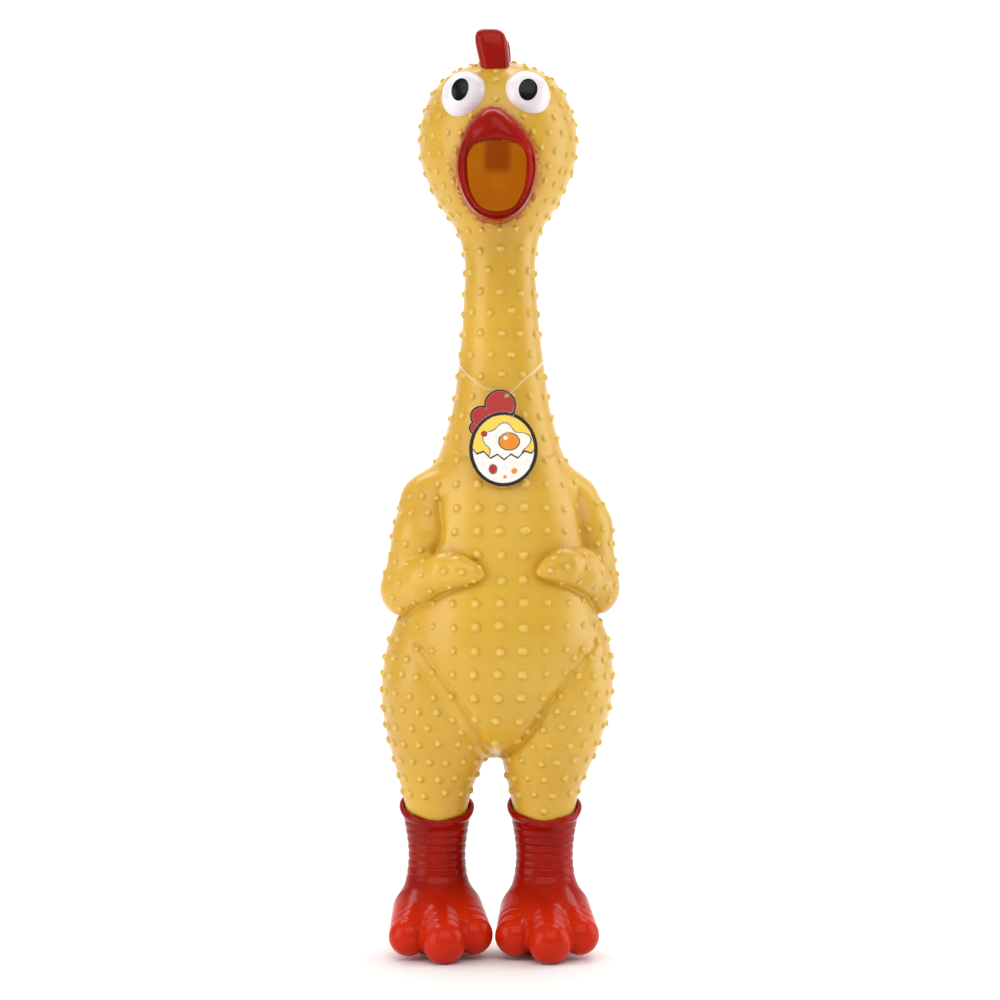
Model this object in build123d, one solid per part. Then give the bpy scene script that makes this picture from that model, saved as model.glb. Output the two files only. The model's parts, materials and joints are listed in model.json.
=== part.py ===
from build123d import *
from math import asin, cos, pi, radians, sin, tan
import os

# Rubber chicken, standing on its boots. +Z is up, it faces -Y, and its own left is at +X.
# The origin is on the ground, under the middle of the whole object. All lengths are in millimetres.
#
# The skin is one hollow moulding in life. Here it is cut at the places where it flexes: two rings in
# the neck, one above each boot, and the patch of belly that a squeeze pushes in.

WALL = 2.2                      # thickness of the moulded skin
BOOT_WALL = 2.6
SEAM_GAP = 0.4                  # clearance round a patch that moves
FAR = 150.0                     # past the end of any part that is being cut

# Outline of the head and neck from the side, as (radius, height).
NECK_BOTTOM, LOWER_FLEX_TOP, UPPER_FLEX_BOTTOM, HEAD_BOTTOM = 268.0, 281.0, 301.0, 313.0
HEAD_TOP = 386.0
HEAD_OUTLINE = [
    (18.2, 258.0), (16.9, NECK_BOTTOM), (15.9, 284.0), (15.7, UPPER_FLEX_BOTTOM), (18.6, HEAD_BOTTOM),
    (27.6, 328.0), (33.3, 345.0), (31.8, 363.0), (22.0, 379.0), (0.0, HEAD_TOP),
]

# The torso, as ellipses: height, middle in y, half width, half depth.
TORSO_SECTIONS = [
    (NECK_BOTTOM, 0.0, 16.9, 16.9),
    (250.0, 0.0, 19.1, 18.9),
    (234.0, -0.5, 21.5, 21.0),
    (219.0, -1.5, 25.8, 24.4),
    (205.0, -2.5, 31.0, 28.2),
    (184.0, -3.5, 36.5, 32.2),
    (160.0, -4.5, 40.5, 35.5),
    (135.0, -5.0, 42.5, 37.0),
    (112.0, -4.5, 38.0, 34.0),
    (96.0, -3.5, 27.0, 26.0),
    (86.0, -2.5, 13.0, 12.5),
]

# Each thigh, as ellipses: height, distance from the middle, middle in y, half width, half depth.
LEG_X = 23.4
THIGH_TOP, THIGH_BOTTOM = 150.0, 83.0
THIGH_SECTIONS = [
    (THIGH_TOP, 31.0, -3.0, 8.0, 9.0),
    (141.0, 29.5, -3.5, 15.5, 19.0),
    (126.0, 27.0, -4.0, 21.0, 25.5),
    (108.0, 25.0, -4.0, 23.2, 26.5),
    (93.0, 24.0, -2.5, 21.6, 23.4),
    (THIGH_BOTTOM, LEG_X, -1.0, 19.3, 19.9),
    (70.0, LEG_X, 0.0, 15.0, 15.2),
    (54.0, LEG_X, 0.0, 11.9, 12.1),
]
# The chicken leans on its legs a little: they drift to its right from the thighs' tops down.
LEG_LEAN_X, LEG_LEAN_Z = -3.6, 70.0     # the whole drift, reached at this height

# Each wing is folded across the front: shoulder, elbow, wrist and hand, as (x, y, z, radius).
# The shoulders are turned a little to the chicken's left, so the two wings differ.
RIGHT_WING = [
    (-29.5, -9.0, 194.0, 13.4), (-38.6, -12.0, 157.0, 11.8),
    (-22.0, -34.0, 165.3, 7.8), (-16.0, -38.0, 165.6, 6.0), (-9.6, -40.8, 164.5, 2.8),
]
LEFT_WING = [
    (31.0, 2.0, 194.0, 13.0), (38.6, -5.0, 157.5, 11.8),
    (33.0, -22.0, 165.5, 9.6), (27.0, -31.0, 167.3, 7.4), (21.5, -36.3, 166.3, 4.8),
    (17.4, -38.4, 165.2, 2.8),
]

# The tail stub at the back.
TAIL_ROOT = (0.0, 22.0, 118.0, 13.0)
TAIL_TIP = (0.0, 41.7, 127.0, 5.5)

# The patch of belly that a squeeze pushes in. It faces forward and a little down.
BELLY_Z, BELLY_TILT, BELLY_HALF_WIDTH, BELLY_HALF_HEIGHT = 113.0, 20.0, 14.5, 17.5
BELLY_CORE_Y = -16.0                    # the patch is cut from here outwards

# The mouth: half outlines in x and z, from the bottom to the top.
MOUTH_OUTLINE = [(0.0, 317.3), (9.2, 321.5), (12.7, 332.0), (10.3, 342.6), (0.0, 346.2)]
BEAK_OUTLINE = [(0.0, 311.5), (12.2, 317.0), (18.2, 332.0), (13.4, 347.5), (0.0, 361.0)]
LIP_OUTLINE = [(0.0, 313.2), (11.0, 318.2), (16.6, 332.0), (12.2, 345.0), (0.0, 350.0)]
BEAK_ROOT_Y, BEAK_MIDDLE_Y, BEAK_FACE_Y = -12.0, -32.0, -43.5
BEAK_MIDDLE_Z = 332.0
BEAK_TILT = 12.0                    # the open face leans this many degrees forward at its top
MOUTH_DEPTH = 34.0                  # how far behind the face the mouth is cut

# The comb: three lobes in a row that lean to one side, each from its root to its round end.
COMB_LOBES = [
    ((1.2, -8.5, 376.0, 5.2), (-2.8, -10.0, 392.7, 7.3)),
    ((0.8, 2.0, 376.0, 5.2), (-1.6, 2.5, 391.0, 7.0)),
    ((0.4, 11.5, 374.0, 5.0), (-0.6, 14.5, 386.0, 6.4)),
]

# The eyes: white caps on two round mounds of the head, with a thin black pupil on each.
EYE_CENTRES = {"right": (-13.9, -21.5, 367.0), "left": (10.8, -21.5, 367.0)}
EYE_MOUND_RADIUS, EYE_RADIUS = 9.8, 10.6
EYE_LOOK = (0.2, -0.94, 0.28)       # the left eye's way of looking; the right one's is its mirror image
EYE_FORWARD = 1.3                   # the white cap's ball is this far ahead of its mound
EYE_RIM = 1.6                       # the cap starts this far ahead of the mound's middle
PUPIL_HALF_WIDTH, PUPIL_HALF_HEIGHT, PUPIL_THICKNESS = 3.9, 4.6, 0.4
PUPIL_PLACES = {"right": (-16.6, 368.7), "left": (12.0, 368.8)}        # x and z

# A boot: outline of its shank as (radius, height), then the foot.
BOOT_RIM_Z, BOOT_RIM_TILT = 63.5, 20.0      # height of the rim's middle, and its dip to the front
BOOT_OUTLINE = [
    (16.6, 72.0), (16.1, 64.0), (14.6, 57.5), (12.8, 50.0), (11.8, 42.0), (12.5, 32.0), (15.0, 22.0),
]
BOOT_LEDGE_Z = THIGH_SECTIONS[-1][0]        # the leg's skin ends on this ledge inside the rim
SHANK_BOTTOM = 14.0
INSTEP = ((0.0, -2.0, 18.0, 13.0), (0.0, -15.0, 11.0, 12.0))
TOES = [
    ((-8.5, -9.0, 14.0, 11.2), (-14.0, -26.0, 8.0, 8.2)),
    ((0.0, -12.0, 10.0, 10.5), (0.0, -35.0, 8.3, 9.6)),
    ((8.5, -9.0, 14.0, 11.2), (14.0, -26.0, 8.0, 8.2)),
]
HEEL = ((0.0, 4.0, 11.0, 11.5), (0.0, 12.0, 8.0, 9.0))
RIGHT_BOOT_YAW, LEFT_BOOT_YAW = 3.5, 0.5    # how many degrees each boot points to the chicken's left

# The squeaker, upright in the stiff sleeve of the neck.
SQUEAKER_Z, SQUEAKER_HEIGHT = 283.0, 16.0
BARREL_RADIUS, BARREL_BORE, BARREL_FLOOR = 12.6, 10.4, 3.6
LEDGE_RADIUS = 10.6                 # bore of the ledge below the squeaker
PORT_RADIUS = 4.0
BLOCK_RADIUS, BLOCK_HEIGHT = 3.95, 12.0
GROOVE_WIDTH, GROOVE_DEPTH, GROOVE_TOP = 3.2, 2.2, 10.8
REED_WIDTH, REED_THICKNESS, REED_BOTTOM, REED_TOP = 4.6, 0.25, 1.2, 11.4
REED_GAP = 0.42                     # room on each side of the reed, between the block and the wedge
CAP_RADIUS, CAP_THICKNESS, CAP_HOLE_RADIUS, CAP_HOLE_RING, CAP_HOLES = 11.2, 1.6, 1.6, 6.6, 6
CAP_CLEARANCE = 0.05                # all round the cap in its seat

# The hang tag: a card egg with three round tabs on its shoulder. The largest holds the hole.
TAG_THICKNESS = 0.5
TAG_LEAN = 15.5                     # its foot stands this many degrees forward of its hole
TAG_PIVOT = (3.2, -24.0, 239.6)     # middle of the hole
TAG_EGG = (-1.3, -23.8)             # middle of the egg, from the hole, in the card's own plane
TAG_EGG_HALF_WIDTH, TAG_EGG_TOP, TAG_EGG_FOOT = 14.5, 16.8, 16.2
TAG_TABS = [((-2.7, -3.9), 6.8), ((-10.8, -9.0), 4.7), ((-13.0, -14.2), 3.0)]
TAG_HOLE_RADIUS = 1.2

# The clear loop that the tag hangs on. It goes round the neck from its lock and back to it, and
# through the card's hole on the way. The middle stretch is given in the card's own plane: across,
# up and out of its front, from the hole.
LOOP_DIAMETER = 0.7
LOCK_Y, LOCK_Z, LOCK_LENGTH, LOCK_RADIUS = 19.6, 265.6, 5.0, 1.5
LOOP_FROM_LOCK = [
    (LOCK_LENGTH / 2, LOCK_Y, LOCK_Z), (7.2, LOCK_Y, LOCK_Z), (13.4, 15.4, 264.6), (18.0, 8.2, 262.4),
    (20.2, -0.8, 259.2), (19.8, -10.0, 255.2), (15.8, -18.2, 250.6), (11.8, -22.2, 247.4),
]
LOOP_AT_CARD = [
    (5.2, 4.6, 1.8), (2.2, 1.4, 1.7), (0.5, -0.1, 0.75), (-0.5, -0.1, -0.75), (-2.2, 1.2, -1.4),
    (-5.6, 3.2, -1.2),
]
LOOP_TO_LOCK = [
    (-7.6, -21.2, 243.6), (-12.4, -18.8, 247.6), (-17.0, -12.8, 252.6), (-19.6, -4.6, 257.4),
    (-19.2, 4.6, 261.4), (-14.8, 12.8, 264.2), (-8.2, LOCK_Y, LOCK_Z), (-LOCK_LENGTH / 2, LOCK_Y, LOCK_Z),
]
LOOP_BEND = 0.45                    # an arc takes this share of the shorter run beside it


def v(point):
    """The place of a round end that is given as (x, y, z, radius)."""
    return Vector(*point[:3])


def round_cone(start, end, shrink=0.0):
    """Two balls and the cone that touches both. Each ball is (x, y, z, radius)."""
    along = v(end) - v(start)
    first, last = start[3] - shrink, end[3] - shrink
    slope = asin((first - last) / along.length)

    def on_ball(radius, height, angle):
        return (radius * cos(angle), height + radius * sin(angle))

    low, high = (0, -first), (0, along.length + last)
    low_touch, high_touch = on_ball(first, 0, slope), on_ball(last, along.length, slope)
    outline = (
        ThreePointArc(low, on_ball(first, 0, (slope - pi / 2) / 2), low_touch)
        + Line(low_touch, high_touch)
        + ThreePointArc(high_touch, on_ball(last, along.length, (slope + pi / 2) / 2), high)
        + Line(high, low)
    )
    solid = revolve(make_face(Plane.XZ * outline), Axis.Z)
    return Plane(origin=v(start), z_dir=along) * solid


def slab(low, high):
    """Everything between two heights."""
    return Pos(0, 0, (low + high) / 2) * Box(2 * FAR, 2 * FAR, high - low)


def ellipse_loft(sections, shrink=0.0):
    """A smooth solid through level ellipses, each (height, x, y, half width, half depth)."""
    return loft([
        Plane(origin=(x, y, z)) * Ellipse(width - shrink, depth - shrink)
        for z, x, y, width, depth in sections
    ])


def head_solid(shrink=0.0):
    """The head and neck as a turned solid, with the mounds that the eyes sit on."""
    points = [(radius - shrink, z) for radius, z in HEAD_OUTLINE[:-1]]
    crown = (0, HEAD_TOP - shrink)
    bottom = points[0][1]
    outline = Spline([*points, crown]) + Line(crown, (0, bottom)) + Line((0, bottom), points[0])
    mounds = [Pos(*centre) * Sphere(EYE_MOUND_RADIUS - shrink) for centre in EYE_CENTRES.values()]
    return revolve(make_face(Plane.XZ * outline), Axis.Z) + mounds


def closed_outline(half):
    """The points of a whole outline from those of its right half, which run from the bottom up."""
    left = [(-x, z) for x, z in reversed(half[1:-1])]
    return [(x, z - BEAK_MIDDLE_Z) for x, z in [*half, *left]]


def upright_face(half, y, tilt=0.0):
    """A smooth outline as a face at one depth, leaning forward at its top by tilt degrees."""
    facing = (0, -cos(radians(tilt)), -sin(radians(tilt)))
    plane = Plane(origin=(0, y, BEAK_MIDDLE_Z), x_dir=(1, 0, 0), z_dir=facing)
    return plane * make_face(Spline(closed_outline(half), periodic=True))


def mouth_tunnel():
    """The way into the mouth, from in front of the beak to the middle of the head."""
    lead = 20.0
    return extrude(upright_face(MOUTH_OUTLINE, BEAK_FACE_Y - lead), amount=-(lead + MOUTH_DEPTH))


def neck_sleeve():
    """The stiff length of neck, bored for the squeaker, with the ledge that it sits on."""
    outside = head_solid() & slab(LOWER_FLEX_TOP, UPPER_FLEX_BOTTOM)
    align = (Align.CENTER, Align.CENTER, Align.MIN)
    seat = Pos(0, 0, SQUEAKER_Z) * Cylinder(BARREL_RADIUS, UPPER_FLEX_BOTTOM, align=align)
    return outside - seat - Cylinder(LEDGE_RADIUS, 2 * SQUEAKER_Z)


def head_parts():
    """The head's skin with its mouth, and the three rings of the neck below it."""
    shell = head_solid() - head_solid(WALL)
    head = (shell & slab(HEAD_BOTTOM, HEAD_TOP + FAR)) - mouth_tunnel()
    return {
        "head_skin": head,
        "upper_neck_flex": shell & slab(UPPER_FLEX_BOTTOM, HEAD_BOTTOM),
        "neck_sleeve": neck_sleeve(),
        "lower_neck_flex": shell & slab(NECK_BOTTOM, LOWER_FLEX_TOP),
    }


def beak():
    """The red mouth ring with its hooded upper beak, seated on the head."""
    root = upright_face(BEAK_OUTLINE, BEAK_ROOT_Y)
    middle = upright_face(BEAK_OUTLINE, BEAK_MIDDLE_Y)
    lip = upright_face(LIP_OUTLINE, BEAK_FACE_Y, BEAK_TILT)
    return loft([root, middle, lip]) - head_solid() - mouth_tunnel()


def comb():
    """Three red lobes along the crown."""
    lobes = [round_cone(root, end) for root, end in COMB_LOBES]
    return Part() + lobes - head_solid()


def eyes():
    """The white caps and the black pupils, right and left."""
    parts = {}
    for name, side in (("right", -1), ("left", 1)):
        mound_centre = Vector(*EYE_CENTRES[name])
        look = Vector(side * EYE_LOOK[0], *EYE_LOOK[1:]).normalized()
        ball_place = Pos(mound_centre + look * EYE_FORWARD)
        front = Plane(origin=mound_centre + look * EYE_RIM, z_dir=look)
        half_space = extrude(front * Rectangle(FAR, FAR), amount=FAR)
        ball = ball_place * Sphere(EYE_RADIUS)
        film = ball_place * Sphere(EYE_RADIUS + PUPIL_THICKNESS) - ball
        x, z = PUPIL_PLACES[name]
        behind = Plane(origin=(x, mound_centre.Y, z), x_dir=(1, 0, 0), z_dir=(0, -1, 0))
        oval = extrude(behind * Ellipse(PUPIL_HALF_WIDTH, PUPIL_HALF_HEIGHT), amount=FAR)
        parts[f"{name}_eye"] = (ball & half_space) - head_solid()
        parts[f"{name}_pupil"] = film & oval
    return parts


def wings(shrink=0.0):
    """Both folded wings."""
    pairs = [*zip(RIGHT_WING, RIGHT_WING[1:]), *zip(LEFT_WING, LEFT_WING[1:])]
    return Part() + [round_cone(start, end, shrink) for start, end in pairs]


def lean(z):
    """How far the legs have drifted sideways at one height."""
    share = (THIGH_TOP - z) / (THIGH_TOP - LEG_LEAN_Z)
    return LEG_LEAN_X * min(share, 1.0)


def thigh(side, shrink=0.0):
    """One thigh and its leg, on the left (+1) or the right (-1)."""
    sections = [(z, side * x + lean(z), y, a, b) for z, x, y, a, b in THIGH_SECTIONS]
    return ellipse_loft(sections, shrink)


def torso_form(shrink=0.0):
    """Torso, thighs, wings and tail in one, shrunk by the wall for the hollow."""
    sections = [(z, 0, y, a, b) for z, y, a, b in TORSO_SECTIONS]
    lowest, *size = sections.pop()
    torso = ellipse_loft([*sections, (lowest + shrink, *size)], shrink)
    tail = round_cone(TAIL_ROOT, TAIL_TIP, shrink)
    return torso + thigh(1, shrink) + thigh(-1, shrink) + wings(shrink) + tail


def torso_parts():
    """The torso's skin, the belly patch, and the ring above each boot."""
    shell = torso_form() - torso_form(WALL)

    def window(gap):
        out = (0, -cos(radians(BELLY_TILT)), -sin(radians(BELLY_TILT)))
        face = Plane(origin=(0, BELLY_CORE_Y, BELLY_Z), x_dir=(1, 0, 0), z_dir=out)
        return extrude(face * Ellipse(BELLY_HALF_WIDTH - gap, BELLY_HALF_HEIGHT - gap), amount=FAR)

    belly = shell & window(SEAM_GAP)
    above_ankles = slab(THIGH_BOTTOM, NECK_BOTTOM)
    torso = (shell & above_ankles) - window(0.0)
    legs = shell & slab(THIGH_SECTIONS[-1][0], THIGH_BOTTOM)
    right, left = sorted(legs.solids(), key=lambda s: s.center().X)
    return {"torso_skin": torso, "belly_patch": belly, "right_ankle_skin": right, "left_ankle_skin": left}


def boot(side, yaw):
    """One boot, left (+1) or right (-1), a hollow shell round the foot of the leg."""

    def form(shrink):
        outline = [(radius - shrink, z) for radius, z in BOOT_OUTLINE]
        top, bottom = BOOT_OUTLINE[0][1], SHANK_BOTTOM
        low = (outline[-1][0], bottom)
        side = Spline(outline) + Line(outline[-1], low) + Line(low, (0, bottom))
        side = side + Line((0, bottom), (0, top)) + Line((0, top), outline[0])
        balls = [INSTEP, *TOES, HEEL]
        lobes = [round_cone(start, end, shrink) for start, end in balls]
        return revolve(make_face(Plane.XZ * side), Axis.Z) + lobes

    rim = Plane.XY.offset(BOOT_RIM_Z).rotated((BOOT_RIM_TILT, 0, 0))
    above_rim = extrude(rim * Rectangle(FAR, FAR), amount=FAR)
    outer = (form(0.0) & slab(0, FAR)) - above_rim
    hollow = form(BOOT_WALL) & slab(BOOT_WALL, FAR)
    place = Location((side * LEG_X + LEG_LEAN_X, 0, 0), (0, 0, yaw))
    return place * (outer - hollow) - (thigh(side) & slab(BOOT_LEDGE_Z, FAR))


def squeaker_parts():
    """The barrel, the reed's block and wedge, the reed, and the cap with its holes."""
    base = Pos(0, 0, SQUEAKER_Z)
    align = (Align.CENTER, Align.CENTER, Align.MIN)
    floor_up = Pos(0, 0, BARREL_FLOOR)
    cap_seat = Pos(0, 0, SQUEAKER_HEIGHT - CAP_THICKNESS)
    barrel = (
        Cylinder(BARREL_RADIUS, SQUEAKER_HEIGHT, align=align)
        - floor_up * Cylinder(BARREL_BORE, SQUEAKER_HEIGHT, align=align)
        - cap_seat * Cylinder(CAP_RADIUS + CAP_CLEARANCE, CAP_THICKNESS, align=align)
        - Cylinder(PORT_RADIUS, BARREL_FLOOR, align=align)
    )
    behind = (Align.CENTER, Align.MIN, Align.MIN)
    in_front = (Align.CENTER, Align.MAX, Align.MIN)
    wide = 4 * BLOCK_RADIUS
    groove = Box(GROOVE_WIDTH, GROOVE_DEPTH, GROOVE_TOP, align=behind)
    block = Cylinder(BLOCK_RADIUS, BLOCK_HEIGHT, align=align) & Box(wide, wide, BLOCK_HEIGHT, align=behind)
    reed_y = -REED_GAP
    wedge_y = reed_y - REED_THICKNESS - REED_GAP
    wedge = Cylinder(BLOCK_RADIUS, BARREL_FLOOR, align=align)
    wedge = wedge & Pos(0, wedge_y, 0) * Box(wide, wide, BARREL_FLOOR, align=in_front)
    reed = Box(REED_WIDTH, REED_THICKNESS, REED_TOP - REED_BOTTOM, align=in_front)
    reed = Pos(0, reed_y, REED_BOTTOM) * reed
    cap = cap_seat * Cylinder(CAP_RADIUS, CAP_THICKNESS, align=align)
    for place in PolarLocations(CAP_HOLE_RING, CAP_HOLES):
        cap = cap - cap_seat * place * Cylinder(CAP_HOLE_RADIUS, CAP_THICKNESS, align=align)
    return {
        "squeaker_barrel": base * barrel,
        "squeaker_reed_block": base * (block - groove),
        "squeaker_reed_wedge": base * wedge,
        "squeaker_reed": base * reed,
        "squeaker_cap": base * cap,
    }


def tag_plane():
    """The card's own plane, with its origin in the hole and its front towards the viewer."""
    lean = radians(TAG_LEAN)
    return Plane(origin=TAG_PIVOT, x_dir=(1, 0, 0), z_dir=(0, -cos(lean), sin(lean)))


def tag_card():
    """The egg-shaped card with its round tabs and hole."""
    x, y = TAG_EGG
    top, foot = (x, y + TAG_EGG_TOP), (x, y - TAG_EGG_FOOT)
    right, left = (x + TAG_EGG_HALF_WIDTH, y), (x - TAG_EGG_HALF_WIDTH, y)
    egg = make_face(Spline([top, left, foot, right], periodic=True))
    tabs = [Pos(*place) * Circle(radius) for place, radius in TAG_TABS]
    outline = egg + tabs - Circle(TAG_HOLE_RADIUS)
    return tag_plane() * extrude(outline, amount=TAG_THICKNESS / 2, both=True)


def loop_route():
    """The whole route of the loop, from its lock round the neck and back."""
    at_card = [tag_plane().from_local_coords(Vector(*point)) for point in LOOP_AT_CARD]
    return [Vector(*p) for p in LOOP_FROM_LOCK] + at_card + [Vector(*p) for p in LOOP_TO_LOCK]


def tag_loop():
    """The loop as a tube of straight runs joined by arcs, and the lock that closes it."""
    route = loop_route()
    runs = [end - start for start, end in zip(route, route[1:])]
    turns = [radians(first.get_angle(second)) for first, second in zip(runs, runs[1:])]
    radii = [
        LOOP_BEND * min(first.length, second.length) / tan(turn / 2)
        for first, second, turn in zip(runs, runs[1:], turns)
    ]
    line = FilletPolyline(*route, radius=radii)
    section = Plane(origin=route[0], z_dir=runs[0]) * Circle(LOOP_DIAMETER / 2)
    tube = sweep(section, path=line)
    lock = Plane(origin=(0, LOCK_Y, LOCK_Z), z_dir=(1, 0, 0)) * Cylinder(LOCK_RADIUS, LOCK_LENGTH)
    return {"tag_loop": tube, "loop_lock": chamfer(lock.edges(), LOCK_RADIUS / 3)}


def all_parts():
    """Every node of the object by name."""
    return {
        **head_parts(),
        "beak": beak(),
        "comb": comb(),
        **eyes(),
        **torso_parts(),
        "left_boot": boot(1, LEFT_BOOT_YAW),
        "right_boot": boot(-1, RIGHT_BOOT_YAW),
        **squeaker_parts(),
        "tag_card": tag_card(),
        **tag_loop(),
    }


os.makedirs("parts", exist_ok=True)
for node, shape in all_parts().items():
    export_step(shape, f"parts/{node}.step")
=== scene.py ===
import json
import math

import bpy
import numpy as np
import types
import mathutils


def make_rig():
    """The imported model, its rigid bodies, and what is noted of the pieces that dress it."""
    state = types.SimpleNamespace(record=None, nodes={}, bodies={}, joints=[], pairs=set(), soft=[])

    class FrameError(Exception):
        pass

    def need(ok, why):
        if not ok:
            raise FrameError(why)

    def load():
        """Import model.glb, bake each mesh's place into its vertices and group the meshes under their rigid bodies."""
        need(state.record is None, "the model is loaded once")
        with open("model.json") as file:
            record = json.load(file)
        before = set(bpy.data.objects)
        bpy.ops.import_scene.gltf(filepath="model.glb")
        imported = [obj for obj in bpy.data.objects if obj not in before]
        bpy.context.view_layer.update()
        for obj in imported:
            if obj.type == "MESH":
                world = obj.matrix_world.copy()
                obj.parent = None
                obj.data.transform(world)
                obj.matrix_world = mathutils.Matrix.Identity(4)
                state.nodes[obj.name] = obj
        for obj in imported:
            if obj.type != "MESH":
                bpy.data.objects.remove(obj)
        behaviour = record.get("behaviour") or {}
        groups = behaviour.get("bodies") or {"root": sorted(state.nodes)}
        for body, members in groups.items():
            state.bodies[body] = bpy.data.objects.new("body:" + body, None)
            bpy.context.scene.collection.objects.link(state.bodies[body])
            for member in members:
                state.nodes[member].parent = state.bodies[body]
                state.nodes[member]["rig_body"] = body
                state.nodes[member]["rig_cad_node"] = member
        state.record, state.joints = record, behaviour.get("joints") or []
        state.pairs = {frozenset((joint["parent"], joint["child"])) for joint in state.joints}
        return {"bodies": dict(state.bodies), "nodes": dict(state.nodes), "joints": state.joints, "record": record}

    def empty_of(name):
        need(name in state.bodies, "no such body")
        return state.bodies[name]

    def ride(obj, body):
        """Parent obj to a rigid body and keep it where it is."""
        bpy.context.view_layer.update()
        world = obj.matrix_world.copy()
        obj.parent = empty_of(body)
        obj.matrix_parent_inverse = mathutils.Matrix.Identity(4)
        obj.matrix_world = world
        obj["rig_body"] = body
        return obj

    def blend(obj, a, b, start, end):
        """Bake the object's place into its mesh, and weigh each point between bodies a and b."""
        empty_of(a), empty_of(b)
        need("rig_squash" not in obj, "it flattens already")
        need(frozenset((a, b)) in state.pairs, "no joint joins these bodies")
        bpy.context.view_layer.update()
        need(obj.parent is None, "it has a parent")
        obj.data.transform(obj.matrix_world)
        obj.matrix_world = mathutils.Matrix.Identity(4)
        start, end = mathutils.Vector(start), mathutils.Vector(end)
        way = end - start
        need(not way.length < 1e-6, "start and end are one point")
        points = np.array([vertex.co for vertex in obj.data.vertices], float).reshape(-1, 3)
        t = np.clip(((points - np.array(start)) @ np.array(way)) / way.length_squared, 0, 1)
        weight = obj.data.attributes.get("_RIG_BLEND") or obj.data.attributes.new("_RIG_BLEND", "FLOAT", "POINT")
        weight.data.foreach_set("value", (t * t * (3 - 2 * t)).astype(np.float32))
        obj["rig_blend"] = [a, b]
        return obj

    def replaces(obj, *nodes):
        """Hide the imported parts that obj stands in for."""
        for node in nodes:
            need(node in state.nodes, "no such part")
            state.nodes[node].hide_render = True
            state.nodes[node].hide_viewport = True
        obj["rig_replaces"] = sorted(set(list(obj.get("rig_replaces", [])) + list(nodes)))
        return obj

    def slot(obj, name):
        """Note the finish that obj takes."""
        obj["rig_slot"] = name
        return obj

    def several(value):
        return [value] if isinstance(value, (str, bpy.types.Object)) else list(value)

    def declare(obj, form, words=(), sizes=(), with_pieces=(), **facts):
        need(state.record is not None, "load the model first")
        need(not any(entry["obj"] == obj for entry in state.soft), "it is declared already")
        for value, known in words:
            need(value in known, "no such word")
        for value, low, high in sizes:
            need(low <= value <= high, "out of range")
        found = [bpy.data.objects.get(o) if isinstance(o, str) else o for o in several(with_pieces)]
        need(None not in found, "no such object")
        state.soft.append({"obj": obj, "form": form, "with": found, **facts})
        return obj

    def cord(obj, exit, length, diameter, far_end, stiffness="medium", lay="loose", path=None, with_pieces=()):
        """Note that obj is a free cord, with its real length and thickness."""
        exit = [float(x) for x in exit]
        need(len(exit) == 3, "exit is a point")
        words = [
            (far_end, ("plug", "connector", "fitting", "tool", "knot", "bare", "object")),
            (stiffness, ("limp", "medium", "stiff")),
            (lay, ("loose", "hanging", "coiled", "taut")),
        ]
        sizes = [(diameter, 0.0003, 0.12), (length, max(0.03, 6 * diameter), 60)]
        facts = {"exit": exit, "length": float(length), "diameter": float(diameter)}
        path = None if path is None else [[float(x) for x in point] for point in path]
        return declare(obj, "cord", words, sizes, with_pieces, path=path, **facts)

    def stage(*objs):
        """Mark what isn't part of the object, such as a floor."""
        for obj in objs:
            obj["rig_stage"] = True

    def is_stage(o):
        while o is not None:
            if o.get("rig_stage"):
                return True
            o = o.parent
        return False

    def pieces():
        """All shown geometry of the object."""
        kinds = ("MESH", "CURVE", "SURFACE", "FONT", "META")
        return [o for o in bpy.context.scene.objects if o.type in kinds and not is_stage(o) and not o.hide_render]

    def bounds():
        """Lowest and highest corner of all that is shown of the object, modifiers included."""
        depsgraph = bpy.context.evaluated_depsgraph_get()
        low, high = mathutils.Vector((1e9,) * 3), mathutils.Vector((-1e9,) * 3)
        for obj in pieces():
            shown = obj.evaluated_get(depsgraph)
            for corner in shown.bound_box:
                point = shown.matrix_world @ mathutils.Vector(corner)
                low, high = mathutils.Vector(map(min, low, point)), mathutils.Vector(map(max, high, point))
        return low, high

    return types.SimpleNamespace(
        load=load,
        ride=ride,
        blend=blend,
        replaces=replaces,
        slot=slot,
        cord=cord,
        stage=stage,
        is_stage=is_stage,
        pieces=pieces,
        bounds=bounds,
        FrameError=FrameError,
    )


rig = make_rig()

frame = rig.load()
cad_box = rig.bounds()

# Shapes below are in millimetres, in the frame's axes: +Z up, the face towards -Y. MM turns them into metres.
MM = 0.001
rng = np.random.default_rng(7)

# The trunk from belly to crown, as level ellipses: height, centre x and y, half width, half depth.
TRUNK = [
    (86, -1.3, -2.5, 13.0, 12.5), (96, -1.0, -3.5, 27.0, 26.0), (112, -0.5, -4.5, 38.0, 34.0),
    (135, 0.3, -5.0, 42.5, 37.0), (160, 0.9, -4.5, 40.5, 35.5), (184, 1.0, -3.5, 36.5, 32.2),
    (205, 1.0, -2.5, 31.0, 28.2), (219, 1.0, -1.5, 25.8, 24.4), (234, 1.0, -0.5, 21.5, 21.0),
    (250, 1.0, 0.0, 19.1, 18.9), (268, 0.8, 0.0, 17.0, 17.0), (284, 0.6, 0.0, 15.9, 15.9),
    (301, 0.4, 0.0, 15.7, 15.7), (313, 0.0, 0.0, 18.8, 18.8), (328, -0.3, 0.0, 28.1, 27.8),
    (345, -0.4, 0.0, 34.0, 33.6), (363, -0.4, 0.0, 32.5, 32.0), (379, -0.4, 0.0, 22.3, 22.0),
    (386, -0.6, 0.0, 1.0, 1.0),
]
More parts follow.
